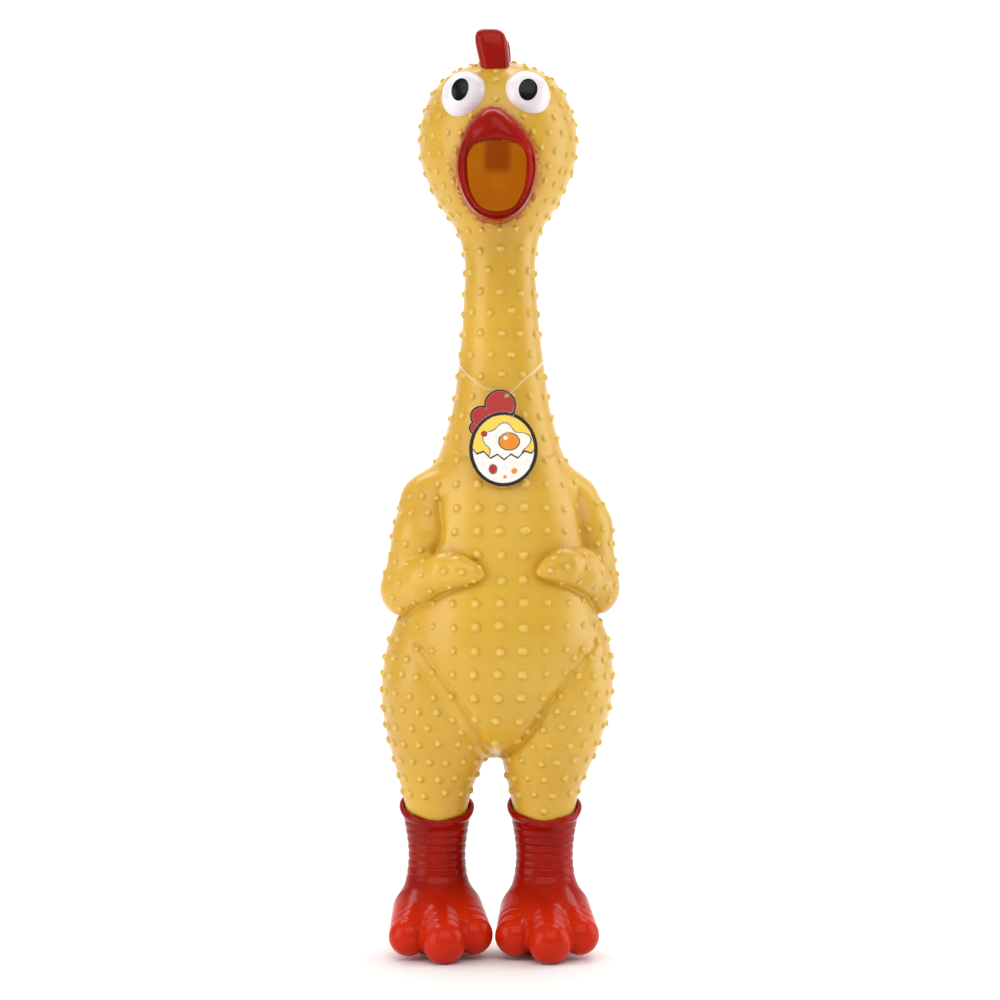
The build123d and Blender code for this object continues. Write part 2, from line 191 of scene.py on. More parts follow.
# One thigh and leg: height, distance from the middle, centre y, half width, half depth.
THIGH = [
    (54, 23.4, 0.0, 12.2, 12.3), (70, 23.4, 0.0, 15.5, 15.5), (83, 23.6, -1.0, 19.8, 20.0),
    (93, 24.3, -2.5, 22.3, 23.5), (108, 25.4, -4.0, 24.3, 26.5), (126, 27.4, -4.0, 22.1, 25.5),
    (141, 29.8, -3.5, 15.8, 19.0), (150, 31.2, -3.0, 8.0, 9.0),
]
# Both legs drift to the chicken's right on their way down, all of it between these two heights.
LEG_LEAN, LEAN_TOP, LEAN_BOTTOM = -3.6, 150.0, 70.0
LEG_X = 23.4

# Limbs are chains of balls, each (x, y, z, radius), with cones between them.
RIGHT_WING = [
    (-29.5, -9, 194, 13.4), (-32, -16, 180, 13.2), (-38.6, -12, 157, 11.8), (-30, -25, 161.5, 10.0),
    (-22, -34, 165.3, 7.8), (-16, -38, 165.6, 6.0), (-10.3, -40.5, 164.8, 3.4), (-8.3, -41, 164, 1.9),
]
LEFT_WING = [
    (31, 2, 194, 13.0), (35, -0.5, 183, 14.0), (39.6, -5, 157.5, 12.0), (33.5, -22, 165.5, 9.4),
    (27, -31, 167.3, 7.4), (21.5, -36.5, 166.4, 4.4), (17.6, -38.5, 165, 2.2),
]
TAIL = [(0, 22, 118, 13), (0, 41.7, 127, 5.5)]
# How softly the forms run together. A wing's crease widens into the shoulder's fillet between two heights.
LIMB_FILLET, WING_CREASE, SHOULDER_FILLET = 3.0, 1.6, 9.0
WING_CREASE_TOP, SHOULDER_TOP = 193.0, 206.0
THIGH_CREASE, TAIL_FILLET, MOUND_FILLET = 2.0, 8.0, 2.0
SEAM_DEPTH, SEAM_WIDTH = 0.9, 1.8  # the groove along the edge of each wing
# Where the belly meets each thigh in front, (x, z) from the hip down to the middle.
HIP_CREASES = [
    [
        (-35.0, 134.0), (-32.6, 131.8), (-24.8, 121.4), (-16.4, 109.9), (-10.1, 99.2), (-5.4, 89.4),
        (-1.1, 84.0),
    ],
    [(41.0, 134.0), (38.6, 130.4), (28.6, 118.9), (21.0, 108.4), (13.4, 96.2), (6.4, 88.6), (-1.1, 84.0)],
]
HIP_Z, CROTCH_Z = 130.0, 92.0
HIP_DEPTH, CROTCH_DEPTH, HIP_WIDTH, CROTCH_WIDTH = 0.9, 2.2, 1.4, 2.2
HIP_RANGE, NECKLINE_RANGE = (78, 141), (209, 225)
CREASE_FADE = 6  # creases fade out over this much before they reach the sides
# The shallow line across the breast where the neck begins.
NECKLINE = [
    (-23.5, 221.5), (-20.0, 217.5), (-14.0, 214.0), (0.0, 212.5), (12.0, 213.3), (18.5, 213.9), (23.0, 215.5),
    (26.5, 218.0),
]
NECKLINE_DEPTH, NECKLINE_WIDTH = 0.55, 0.9

WALL = 2.2
# The belly starts to give way at the first place, and gives way fully from the second on. The wall's inner
# side lies deeper there by more than the belly's travel.
BELLY_IN, BELLY_OUT, BELLY_DEPTH = (0, -34.21, 113.0), (0, -38.35, 111.5), 11.0
LEG_END, TORSO_BOTTOM, NECK_BOTTOM, HEAD_BOTTOM = 54.5, 86.0, 258.0, 290.0
FACE_Y = -8  # the mouth, the beak and its overspray lie in front of this

EYE_CENTRES = {"right": (-13.6, -21.5, 366.3), "left": (10.8, -21.5, 366.6)}
EYE_MOUND = 10.9
EYE_LOOK = (0.2, -0.94, 0.28)

# The mouth's edge and the beak's outer edge: the right half of each, (x, z) from the bottom up.
MOUTH_EDGE = [(0, 317.0), (6.6, 318.8), (10.8, 325), (12.3, 333), (11.4, 340.4), (8.0, 344.7), (0, 346.0)]
BEAK_EDGE = [
    (0, 313.0), (8.0, 315.6), (13.6, 322), (16.8, 331), (17.0, 338.5), (15.6, 345), (12.6, 351.8),
    (8.0, 357.2), (3.8, 360.4), (0, 361.4),
]
# The whole mouth is a little to the chicken's right, and the top of the beak leans further that way.
BEAK_X, BEAK_LEAN, BEAK_LEAN_Z, BEAK_TOP_Z = -0.9, -1.7, 344.0, 361.0
# The beak's face slopes back as it rises, as far up as the brow of its hood.
BEAK_FACE_Y, BEAK_MIDDLE_Z, BEAK_SLOPE, BEAK_BACK_Y = -43.2, 332.0, 0.21, -21.0
HOOD_BROW_Z, HOOD_SOFT = 348.0, 4.0
HOOD_START_Z, HOOD_FULL_Z, HOOD_REACH, HOOD_DOME = 338.0, 350.0, 11.5, 12.5
# The ring round the mouth, as (height, place between the two edges, width): its lip and its outer ridge.
RING_LIP, RING_RIDGE, RING_SINK = (2.2, 0.34, 0.2), (1.6, 0.84, 0.12), 2.2
BEAK_FLARE = 0.9  # how much narrower the beak is at its face than at its root
MOUTH_BEVEL = 2.6  # how much higher the mouth's roof is behind its lip
BEAK_ROUND, LIP_ROUND = 1.6, 1.7


# ---- fields: signed distances in millimetres, negative inside ----

LEVELS = np.arange(30.0, 410.0, 0.5)


def smooth_step(value, start, end):
    t = np.clip((value - start) / (end - start), 0, 1)
    return t * t * (3 - 2 * t)


def bell(t):
    """A smooth bump: 1 where t is 0, and nothing from about 2 on."""
    return np.exp(-(t**2))


def smooth_table(heights, values):
    """Values at LEVELS on a smooth curve through the given ones, and straight beyond its ends."""
    heights, values = np.array(heights, float), np.array(values, float)
    slopes = np.gradient(values, heights)
    i = np.clip(np.searchsorted(heights, LEVELS) - 1, 0, len(heights) - 2)
    span = heights[i + 1] - heights[i]
    t = np.clip((LEVELS - heights[i]) / span, 0, 1)
    curve = (
        values[i] * (1 + 2 * t) * (1 - t) ** 2
        + values[i + 1] * t * t * (3 - 2 * t)
        + span * slopes[i] * t * (1 - t) ** 2
        - span * slopes[i + 1] * t * t * (1 - t)
    )
    below = np.minimum(LEVELS - heights[0], 0) * slopes[0]
    above = np.maximum(LEVELS - heights[-1], 0) * slopes[-1]
    return curve + below + above


def loft_tables(sections):
    """A loft's centre x and y, its ellipses' ratio and their area, at LEVELS."""
    z, x, y, a, b = np.array(sections, float).T
    return [smooth_table(z, column) for column in (x, y, a / b, a * b)]


def lofted(sections):
    """The field of a smooth form through level ellipses, each (height, x, y, half width, half depth)."""
    tables = loft_tables(sections)
    tables.append(np.gradient(tables[3], LEVELS))

    def field(p):
        cx, cy, ratio, area, growth = (np.interp(p[:, 2], LEVELS, table) for table in tables)
        dx, dy = p[:, 0] - cx, p[:, 1] - cy
        excess = dx * dx / ratio + dy * dy * ratio - area
        half = np.sqrt((dx / ratio) ** 2 + (dy * ratio) ** 2 + (growth / 2) ** 2)
        return excess / (half + np.sqrt(np.maximum(half * half - excess, 0)) + 1e-6)

    return field


def round_cone(p, start, end):
    """Distance to a cone between two balls."""
    a, b = np.array(start[:3], float), np.array(end[:3], float)
    along = b - a
    t = np.clip((p - a) @ along / (along @ along), 0, 1)
    return np.linalg.norm(p - a - t[:, None] * along, axis=1) - (start[3] + t * (end[3] - start[3]))


def joined(a, b, soft):
    """Two fields as one form, rounded over soft millimetres where they meet."""
    share = np.clip(0.5 + 0.5 * (b - a) / soft, 0, 1)
    return b + (a - b) * share - soft * share * (1 - share)


def common(a, b, soft):
    """What two fields have in common, with its edge rounded over soft millimetres."""
    return -joined(-a, -b, soft)


def chain(p, balls):
    """A limb through several balls."""
    d = round_cone(p, balls[0], balls[1])
    for start, end in zip(balls[1:], balls[2:]):
        d = joined(d, round_cone(p, start, end), LIMB_FILLET)
    return d


def lean(z):
    """How far the legs have drifted sideways at one height."""
    return LEG_LEAN * min((LEAN_TOP - z) / (LEAN_TOP - LEAN_BOTTOM), 1.0) ** 2


def thigh_sections(side):
    return [(z, side * x + lean(z), y, a, b) for z, x, y, a, b in THIGH]


trunk = lofted(TRUNK)
thighs = [lofted(thigh_sections(side)) for side in (-1, 1)]


def line_distance(x, z, line):
    """Distance in the plane to an open line of points."""
    nearest = np.full(len(x), 1e9)
    for (ax, az), (bx, bz) in zip(line, line[1:]):
        ex, ez = bx - ax, bz - az
        t = np.clip(((x - ax) * ex + (z - az) * ez) / (ex * ex + ez * ez), 0, 1)
        nearest = np.minimum(nearest, (x - ax - t * ex) ** 2 + (z - az - t * ez) ** 2)
    return np.sqrt(nearest)


def creases(p):
    """How far the skin is drawn in where the belly meets the thighs, and along the neckline."""
    drawn = np.zeros(len(p))
    front = np.clip(-p[:, 1] / CREASE_FADE, 0, 1)
    ranges = (HIP_RANGE, NECKLINE_RANGE)
    hips, neckline = ((p[:, 2] > low) & (p[:, 2] < high) & (front > 0) for low, high in ranges)
    x, z = p[hips, 0], p[hips, 2]
    gap = np.minimum(line_distance(x, z, HIP_CREASES[0]), line_distance(x, z, HIP_CREASES[1]))
    down = smooth_step(z, HIP_Z, CROTCH_Z)
    depth = HIP_DEPTH + down * (CROTCH_DEPTH - HIP_DEPTH)
    width = HIP_WIDTH + down * (CROTCH_WIDTH - HIP_WIDTH)
    drawn[hips] = depth * bell(gap / width) * front[hips]
    gap = line_distance(p[neckline, 0], p[neckline, 2], NECKLINE)
    drawn[neckline] += NECKLINE_DEPTH * bell(gap / NECKLINE_WIDTH) * front[neckline]
    return drawn


def skin(p):
    """The whole yellow skin's outside."""
    d = trunk(p)
    d = joined(d, round_cone(p, *TAIL), TAIL_FILLET)
    legs = np.minimum(thighs[0](p), thighs[1](p))
    d = joined(d, legs, THIGH_CREASE) + creases(p)
    shoulder = smooth_step(p[:, 2], WING_CREASE_TOP, SHOULDER_TOP)
    soft = WING_CREASE + shoulder * (SHOULDER_FILLET - WING_CREASE)
    for wing in (RIGHT_WING, LEFT_WING):
        arm = chain(p, wing)
        seam = SEAM_DEPTH * (1 - shoulder) * bell((d - arm) / SEAM_WIDTH)
        d = joined(d, arm, soft) + seam
    for centre in EYE_CENTRES.values():
        d = joined(d, np.linalg.norm(p - np.array(centre), axis=1) - EYE_MOUND, MOUND_FILLET)
    return d


def smooth_loop(half, steps=8):
    """A closed smooth outline from its right half, which runs from the bottom up, with steps per point."""
    right = np.array(half, float)
    left = right[-2:0:-1] * (-1, 1)
    ring = np.concatenate([right, left])
    before, after, beyond = np.roll(ring, 1, 0), np.roll(ring, -1, 0), np.roll(ring, -2, 0)
    points = []
    for t in np.arange(steps) / steps:
        points.append(
            ring
            + 0.5 * t * (after - before)
            + t * t * (before - 2.5 * ring + 2 * after - 0.5 * beyond)
            + t**3 * (1.5 * (ring - after) + 0.5 * (beyond - before))
        )
    return np.stack(points, 1).reshape(-1, 2)


def loop_distance(x, z, loop):
    """Signed distance in the plane to a closed loop of points, negative inside."""
    inside = np.zeros(len(x), bool)
    for (ax, az), (bx, bz) in zip(loop, np.roll(loop, -1, 0)):
        if abs(bz - az) > 1e-9:
            inside ^= ((az > z) != (bz > z)) & (x < ax + (bx - ax) * (z - az) / (bz - az))
    return np.where(inside, -1, 1) * line_distance(x, z, [*loop, loop[0]])


mouth_loop = smooth_loop(MOUTH_EDGE)
beak_loop = smooth_loop(BEAK_EDGE)


def beak_gap(x, z, loop):
    """Signed distance to the mouth's or the beak's edge where it really lies."""
    return loop_distance(x - BEAK_X - BEAK_LEAN * smooth_step(z, BEAK_LEAN_Z, BEAK_TOP_Z), z, loop)


# ---- surfaces ----

SLOPE_REACH, FLATTEST, LONGEST_MOVE = 0.25, 0.05, 1.5
RELAX_ROUNDS = 2


def slope_of(field, p):
    """The field's gradient at each point."""
    steps = np.eye(3) * SLOPE_REACH
    return np.stack([(field(p + step) - field(p - step)) / (2 * SLOPE_REACH) for step in steps], 1)


def unit(vectors):
    return vectors / np.maximum(np.linalg.norm(vectors, axis=-1, keepdims=True), 1e-9)


def settle(field, p, rounds=2):
    """The points moved on to the field's surface, and its normals there."""
    for _ in range(rounds):
        slope = slope_of(field, p)
        size = np.maximum((slope * slope).sum(1), FLATTEST)
        move = (field(p) / size)[:, None] * slope
        p = p - np.clip(move, -LONGEST_MOVE, LONGEST_MOVE)
    return p, unit(slope_of(field, p))


def sampled(field, low, step, shape, levels=16):
    """The field on a grid, taken a few levels at a time to save memory."""
    x, y, z = (low[i] + step * np.arange(shape[i]) for i in range(3))
    grid = np.empty(shape, np.float32)
    for k in range(0, shape[2], levels):
        block = np.stack(np.meshgrid(x, y, z[k : k + levels], indexing="ij"), -1)
        grid[:, :, k : k + levels] = field(block.reshape(-1, 3)).reshape(block.shape[:3])
    return grid


def averaged(faces, places):
    """For each point, the mean of the places that its faces have."""
    corners, places = faces.ravel(), np.repeat(places, 4, axis=0)
    count = np.bincount(corners)
    return np.stack([np.bincount(corners, places[:, i]) / count for i in range(3)], 1)


def surface(field, low, high, step):
    """Points, quads and normals of the surface where the field is zero, within a box."""
    low, high = np.array(low, float), np.array(high, float)
    shape = tuple(((high - low) / step).astype(int) + 2)
    grid = sampled(field, low, step, shape)
    rings, crossings = [], []
    for axis in range(3):
        u, v = (axis + 1) % 3, (axis + 2) % 3
        ends = np.moveaxis(grid, axis, 0)
        order = np.argsort([axis] + [i for i in range(3) if i != axis])
        where = np.argwhere((ends[:-1] < 0) != (ends[1:] < 0))[:, order]
        inner = (where[:, [u, v]] > 0).all(1) & (where[:, u] < shape[u] - 1) & (where[:, v] < shape[v] - 1)
        where = where[inner]
        # Each crossing of the surface with a grid edge gives a quad, with a corner in each cell round it.
        forward = np.eye(3, dtype=int)[axis]
        first, second = grid[tuple(where.T)], grid[tuple((where + forward).T)]
        share = first / (first - second)
        crossings.append(low + step * (where + share[:, None] * forward))
        ring = []
        for du, dv in ((-1, -1), (0, -1), (0, 0), (-1, 0)):
            cell = where.copy()
            cell[:, u] += du
            cell[:, v] += dv
            ring.append(np.ravel_multi_index(cell.T, shape))
        ring = np.stack(ring, 1)
        ring[first >= 0] = ring[first >= 0][:, ::-1]
        rings.append(ring)
    faces = np.unique(np.concatenate(rings), return_inverse=True)[1].reshape(-1, 4)
    points = averaged(faces, np.concatenate(crossings))
    for _ in range(RELAX_ROUNDS):
        # Each point moves halfway to the middle of its faces, and then back on to the surface.
        points = 0.5 * points + 0.5 * averaged(faces, points[faces].mean(1))
        points, normals = settle(field, points)
    return points, faces, normals


class Form:
    """A mesh in the making: points, faces, their material slots, normals, and marks.

    Normals are given per point, or None for the mesh's own. A mark is a name with one number per point, which
    a material reads.
    """

    def __init__(self, points, faces, normals, **marks):
        self.points, self.faces, self.normals = points, [list(f) for f in faces], normals
        self.marks = marks
        self.slots = [0] * len(self.faces)

    def add(self, other):
        """Take in another form, in the first slot."""
        shift = len(self.points)
        for name in set(self.marks) | set(other.marks):
            mine = self.marks.get(name, np.zeros(shift))
            theirs = other.marks.get(name, np.zeros(len(other.points)))
            self.marks[name] = np.concatenate([mine, theirs])
        self.points = np.concatenate([self.points, other.points])
        self.normals = np.concatenate([self.normals, other.normals])
        self.faces += [[i + shift for i in f] for f in other.faces]
        self.slots += [0] * len(other.faces)

    def moved(self, turn, shift):
        """A copy turned about Z, in degrees, and shifted."""
        c, s = math.cos(math.radians(turn)), math.sin(math.radians(turn))
        matrix = np.array([(c, s, 0), (-s, c, 0), (0, 0, 1)])
        points = self.points @ matrix + np.array(shift, float)
        return Form(points, self.faces, self.normals @ matrix, **self.marks)

    def piece(self, name, *materials):
        """The form as a Blender object."""
        mesh = bpy.data.meshes.new(name)
        mesh.from_pydata((self.points * MM).tolist(), [], self.faces)
        for material in materials:
            mesh.materials.append(material)
        mesh.polygons.foreach_set("material_index", self.slots)
        for mark, values in self.marks.items():
            attribute = mesh.attributes.new(mark, "FLOAT", "POINT")
            attribute.data.foreach_set("value", np.asarray(values, np.float32))
        mesh.polygons.foreach_set("use_smooth", [True] * len(self.faces))
        if self.normals is not None:
            mesh.normals_split_custom_set_from_vertices(self.normals.tolist())
        obj = bpy.data.objects.new(name, mesh)
        bpy.context.scene.collection.objects.link(obj)
        return obj


def shell(points, faces, normals, wall):
    """The surface with an inner side at the wall's depth, closed along its open edges.

    The outer side is in the first material slot, the rest in the second.
    """
    used, faces = np.unique(faces, return_inverse=True)
    faces = faces.reshape(-1, 4)
    points, normals, wall = points[used], normals[used], np.broadcast_to(wall, len(points))[used, None]
    count = len(points)
    starts, ends = faces.ravel(), np.roll(faces, -1, axis=1).ravel()
    lone = ~np.isin(starts * count + ends, ends * count + starts)
    a, b = starts[lone], ends[lone]
    rim = np.stack([b, a, a + count, b + count], 1)
    inside = faces[:, ::-1] + count
    form = Form(
        np.concatenate([points, points - wall * normals]),
        np.concatenate([faces, rim, inside]),
        np.concatenate([normals, -normals]),
    )
    form.slots = [0] * len(faces) + [1] * (len(rim) + len(inside))
    return form


# ---- nubs ----

# A nub of size 1: distance from its middle, and height above the skin.
NUB_PROFILE = np.array([
    (0.0, 1.16), (0.45, 1.11), (0.88, 0.93), (1.2, 0.64), (1.42, 0.34), (1.68, 0.1), (2.05, 0.0),
    (2.2, -0.08),
])
NUB_FLAT_RINGS = 2  # the outermost rings are shaded as the skin is
NUB_SIDES = 14
NUB_ROOT = 0.5  # how deep the closed underside of a nub lies


def ring_quad(i, j, k, sides):
    """The quad between rings i and i + 1 and columns j and k."""
    return [i * sides + j, (i + 1) * sides + j, (i + 1) * sides + k, i * sides + k]


def button_faces(rings, sides):
    """Faces of a closed button: rings from the top outwards, then the top's point, then the bottom's."""
    faces = []
    for j in range(sides):
        k = (j + 1) % sides
        faces.append([rings * sides, j, k])
        faces += [ring_quad(i, j, k, sides) for i in range(rings - 1)]
        faces.append([(rings - 1) * sides + j, rings * sides + 1, (rings - 1) * sides + k])
    return faces


def around(normal):
    """Two directions square to each normal."""
    helper = np.where(np.abs(normal[:, 2:]) < 0.9, [[0.0, 0.0, 1.0]], [[1.0, 0.0, 0.0]])
    first = unit(np.cross(helper, normal))
    return first, np.cross(normal, first)


def nub_form(field, centres, sizes):
    """Soft round nubs that follow the surface, one at each centre."""
    centres, normals = settle(field, centres)
    first, second = around(normals)
    angle = np.arange(NUB_SIDES) * 2 * math.pi / NUB_SIDES
    out = np.cos(angle)[:, None, None] * first + np.sin(angle)[:, None, None] * second
    radii, heights = NUB_PROFILE[1:].T
    slopes = np.gradient(NUB_PROFILE[:, 1], NUB_PROFILE[:, 0])[1:]
    slopes[-NUB_FLAT_RINGS:] = 0
    feet = centres + radii[:, None, None, None] * sizes[:, None] * out
    rings, sides = len(radii), NUB_SIDES
    feet, up = settle(field, feet.reshape(-1, 3), rounds=1)
    shape = (rings, sides, len(centres), 3)
    feet, up = feet.reshape(shape), up.reshape(shape)
    points = feet + heights[:, None, None, None] * sizes[:, None] * up
    shade = unit(up - slopes[:, None, None, None] * out)
    tops = centres + NUB_PROFILE[0, 1] * sizes[:, None] * normals
    roots = centres - NUB_ROOT * normals
    count = len(centres)
    ring_points = points.transpose(2, 0, 1, 3).reshape(count, -1, 3)
    ring_shade = shade.transpose(2, 0, 1, 3).reshape(count, -1, 3)
    all_points = np.concatenate([ring_points, tops[:, None], roots[:, None]], 1)
    all_shade = np.concatenate([ring_shade, normals[:, None], -normals[:, None]], 1)
    # Each point's lift, its height on the nub, is what the skin's material uses to paint a highlight on the nub's top.
    lift = np.concatenate([np.repeat(np.clip(heights, 0, 1), sides), [1.0, 0.0]])
    faces = button_faces(rings, sides)
    each = all_points.shape[1]
    every = [[v + n * each for v in f] for n in range(count) for f in faces]
    return Form(all_points.reshape(-1, 3), every, all_shade.reshape(-1, 3), lift=np.tile(lift, count))


def section_ring(section, pitch, offset):
    """Points round a level ellipse, evenly spaced from its front."""
    z, x, y, a, b = section
    fine = np.linspace(0, 2 * math.pi, 361)
    ring = np.stack([x + a * np.sin(fine), y - b * np.cos(fine)], 1)
    walk = np.concatenate([[0], np.cumsum(np.linalg.norm(np.diff(ring, axis=0), axis=1))])
    count = max(int(round(walk[-1] / pitch)), 3)
    at = (np.arange(count) + offset) % count * walk[-1] / count
    return np.stack([np.interp(at, walk, ring[:, 0]), np.interp(at, walk, ring[:, 1]), np.full(count, z)], 1)


def sections_at(sections, heights):
    """The loft's ellipse at each height."""
    x, y, ratio, area = (np.interp(heights, LEVELS, table) for table in loft_tables(sections))
    area = np.maximum(area, 0)
    return np.stack([heights, x, y, np.sqrt(area * ratio), np.sqrt(area / ratio)], 1)


def limb_rings(balls, pitch):
    """Points in rings round a limb."""
    points = []
    for start, end in zip(balls, balls[1:]):
        a, b = np.array(start, float), np.array(end, float)
        along = unit((b - a)[None, :3])
        first, second = (v[0] for v in around(along))
        steps = max(int(np.linalg.norm((b - a)[:3]) / pitch), 1)
        for n in range(steps):
            middle = a + (b - a) * (n + 0.5) / steps
            count = max(int(2 * math.pi * middle[3] / pitch), 3)
            turn = (np.arange(count) + 0.5 * (n % 2)) * 2 * math.pi / count
            circle = np.cos(turn)[:, None] * first + np.sin(turn)[:, None] * second
            points.append(middle[:3] + middle[3] * circle)
    return np.concatenate(points)


# Nubs of each part: the pitch along a row, the size, and how far each may stray from its place. The belly's
# rows have their largest nubs in front and smaller ones towards the sides.
BELLY_PITCH, BELLY_LARGE, BELLY_LESS, BELLY_SIDES, BELLY_STRAY = 10.0, 1.3, 0.45, (10.0, 24.0), 0.35
NECK_NUBS, HEAD_NUBS, THIGH_NUBS = (9.2, 1.0, 0.35), (7.8, 0.88, 0.6), (8.0, 1.0, 0.5)
WING_NUBS, TAIL_NUBS = (6.4, 0.85, 0.4), (7.0, 0.85, 0.4)
BELLY_ROWS, NECK_ROWS, THIGH_ROWS = (92.0, 226.0, 10.0), (231.0, 306.0, 9.0), (61.2, 150.0, 7.4)
HEAD_LEVELS, HEAD_FIRST_ROW, HEAD_RISE = (310.0, 386.0, 0.25), 2.0, 7.2
BROW_NUBS, BROW_SIZE = [(-1.3, -31.3, 364.8), (-1.3, -26.6, 373.6), (-1.3, -23.4, 378.0)], 0.85

# Nubs keep this far from the beak, the eyes' mounds and the filament, and from each other times their sizes.
NUB_TO_BEAK, NUB_TO_EYE, NUB_TO_LOOP, NUB_TO_NUB = 1.2, 1.8, 2.9, 2.9
BOOT_TOP_Z, BOOT_TOP_SLOPE = 66, 0.36  # they stop above the boots' slanted tops
CROWN_HALF, CROWN_FRONT, CROWN_BACK, CROWN_Z = 6, -13, 19, 372  # and clear of the comb
# A site is open skin if it starts near the skin and if, on a ring round it, the skin is level enough.
SITE_NEAR, SITE_RING, SITE_LEVEL, SITE_FACING = 3.2, 2.3, 0.9, 0.55


def head_heights():
    """Heights of the head's rows, closer together towards the crown."""
    z = np.arange(*HEAD_LEVELS)
    rows = sections_at(TRUNK, z)
    walk = np.concatenate([[0], np.cumsum(np.hypot(np.diff(rows[:, 3]), np.diff(z)))])
    return np.interp(np.arange(HEAD_FIRST_ROW, walk[-1], HEAD_RISE), walk, z)


def nub_sites():
    """Every nub's rough centre and size."""
    sites, sizes = [], []

    def add(points, size, stray):
        points = points + rng.normal(0, stray, points.shape)
        sites.append(points)
        sizes.append(np.full(len(points), 1.0) * size)

    def add_rows(sections, pitch, size, stray):
        for n, section in enumerate(sections):
            add(section_ring(section, pitch, 0.5 * (n % 2)), size, stray)

    add(settle(skin, np.array(BROW_NUBS))[0], BROW_SIZE, 0.0)
    for section in sections_at(TRUNK, np.arange(*BELLY_ROWS)):
        ring = section_ring(section, BELLY_PITCH, 0.0)
        add(ring, BELLY_LARGE - BELLY_LESS * smooth_step(np.abs(ring[:, 0]), *BELLY_SIDES), BELLY_STRAY)
    add_rows(sections_at(TRUNK, np.arange(*NECK_ROWS)), *NECK_NUBS)
    add_rows(sections_at(TRUNK, head_heights()), *HEAD_NUBS)
    for side in (-1, 1):
        add_rows(sections_at(thigh_sections(side), np.arange(*THIGH_ROWS)), *THIGH_NUBS)
    for limb, (pitch, size, stray) in ((RIGHT_WING, WING_NUBS), (LEFT_WING, WING_NUBS), (TAIL, TAIL_NUBS)):
        add(limb_rings(limb, pitch), size, stray)
    return np.concatenate(sites), np.concatenate(sizes)


def kept_nubs():
    """The sites that lie on open skin, away from creases, eyes, beak, comb, filament and boots."""
    rough, sizes = nub_sites()
    near = np.abs(skin(rough)) < SITE_NEAR
    rough, sizes = rough[near], sizes[near]
    points, normals = settle(skin, rough, rounds=4)
    x, y, z = points.T
    first, second = around(normals)
    kept = np.ones(len(points), bool)
    for turn in np.arange(6) * math.pi / 3:
        side = math.cos(turn) * first + math.sin(turn) * second
        ring = points + SITE_RING * sizes[:, None] * side
        facing = (unit(slope_of(skin, ring)) * normals).sum(1)
        kept &= (np.abs(skin(ring)) < SITE_LEVEL) & (facing > SITE_FACING)
    kept &= (beak_gap(x, z, beak_loop) > NUB_TO_BEAK) | (y > FACE_Y)
    for centre in EYE_CENTRES.values():
        kept &= np.linalg.norm(points - np.array(centre), axis=1) > EYE_MOUND + NUB_TO_EYE
    kept &= route_distance(points) > NUB_TO_LOOP
    kept &= z > BOOT_TOP_Z + BOOT_TOP_SLOPE * y
    kept &= ~((np.abs(x) < CROWN_HALF) & (y > CROWN_FRONT) & (y < CROWN_BACK) & (z > CROWN_Z))
    chosen = []  # earlier sites win over later ones that would touch them
    for i in np.flatnonzero(kept):
        if all(np.linalg.norm(points[i] - points[j]) > NUB_TO_NUB * (sizes[i] + sizes[j]) for j in chosen):
            chosen.append(i)
    return points[chosen], sizes[chosen]


# ---- skin pieces ----

SKIN_BOX, SKIN_STEP = ((-52, -52, LEG_END - 3), (52, 50, 388)), 1.0
MOUTH_CUT = 1.6  # the skin is cut this far outside the mouth's edge, under the beak
DEEPER_FROM, DEEPER_Y = -1.2, -20  # where the wall starts to deepen behind the belly
SPRAY_REACH, SPRAY_MORE, SPRAY_Z, SPRAY_HALF = 1.0, 1.3, 336.0, 13.0
# Where the painted shade lies on the back wall inside the mouth: its middle x, how its sides fade, and the heights
# over which it starts.
SHADE_PATCH_X, SHADE_PATCH_SIDES, SHADE_PATCH_HEIGHTS = -0.7, (7.6, 3.8), (340.0, 345.0)


def overspray(points):
    """How much red paint has drifted on to the skin round the beak, from 0 to 1."""
    x, y, z = points.T
    reach = SPRAY_REACH + SPRAY_MORE * bell((z - SPRAY_Z) / SPRAY_HALF)
    return np.where(y < FACE_Y, np.exp(-np.maximum(beak_gap(x, z, beak_loop), 0) / reach), 0)


def inside_shade(points):
    """The painted shade high on the back wall inside the mouth, a darker patch, from 0 to 1."""
    x, y, z = points.T
    return smooth_step(np.abs(x - SHADE_PATCH_X), *SHADE_PATCH_SIDES) * smooth_step(z, *SHADE_PATCH_HEIGHTS) * (y > 0)


def skin_zones(places):
    """Which piece of the skin each place belongs to."""
    x, z = places[:, 0], places[:, 2]
    return {
        "head_vinyl": z > HEAD_BOTTOM,
        "neck_vinyl": (z > NECK_BOTTOM) & (z <= HEAD_BOTTOM),
        "torso_vinyl": (z >= TORSO_BOTTOM) & (z <= NECK_BOTTOM),
        "right_leg_vinyl": (z < TORSO_BOTTOM) & (x < LEG_LEAN),
        "left_leg_vinyl": (z < TORSO_BOTTOM) & (x >= LEG_LEAN),
    }


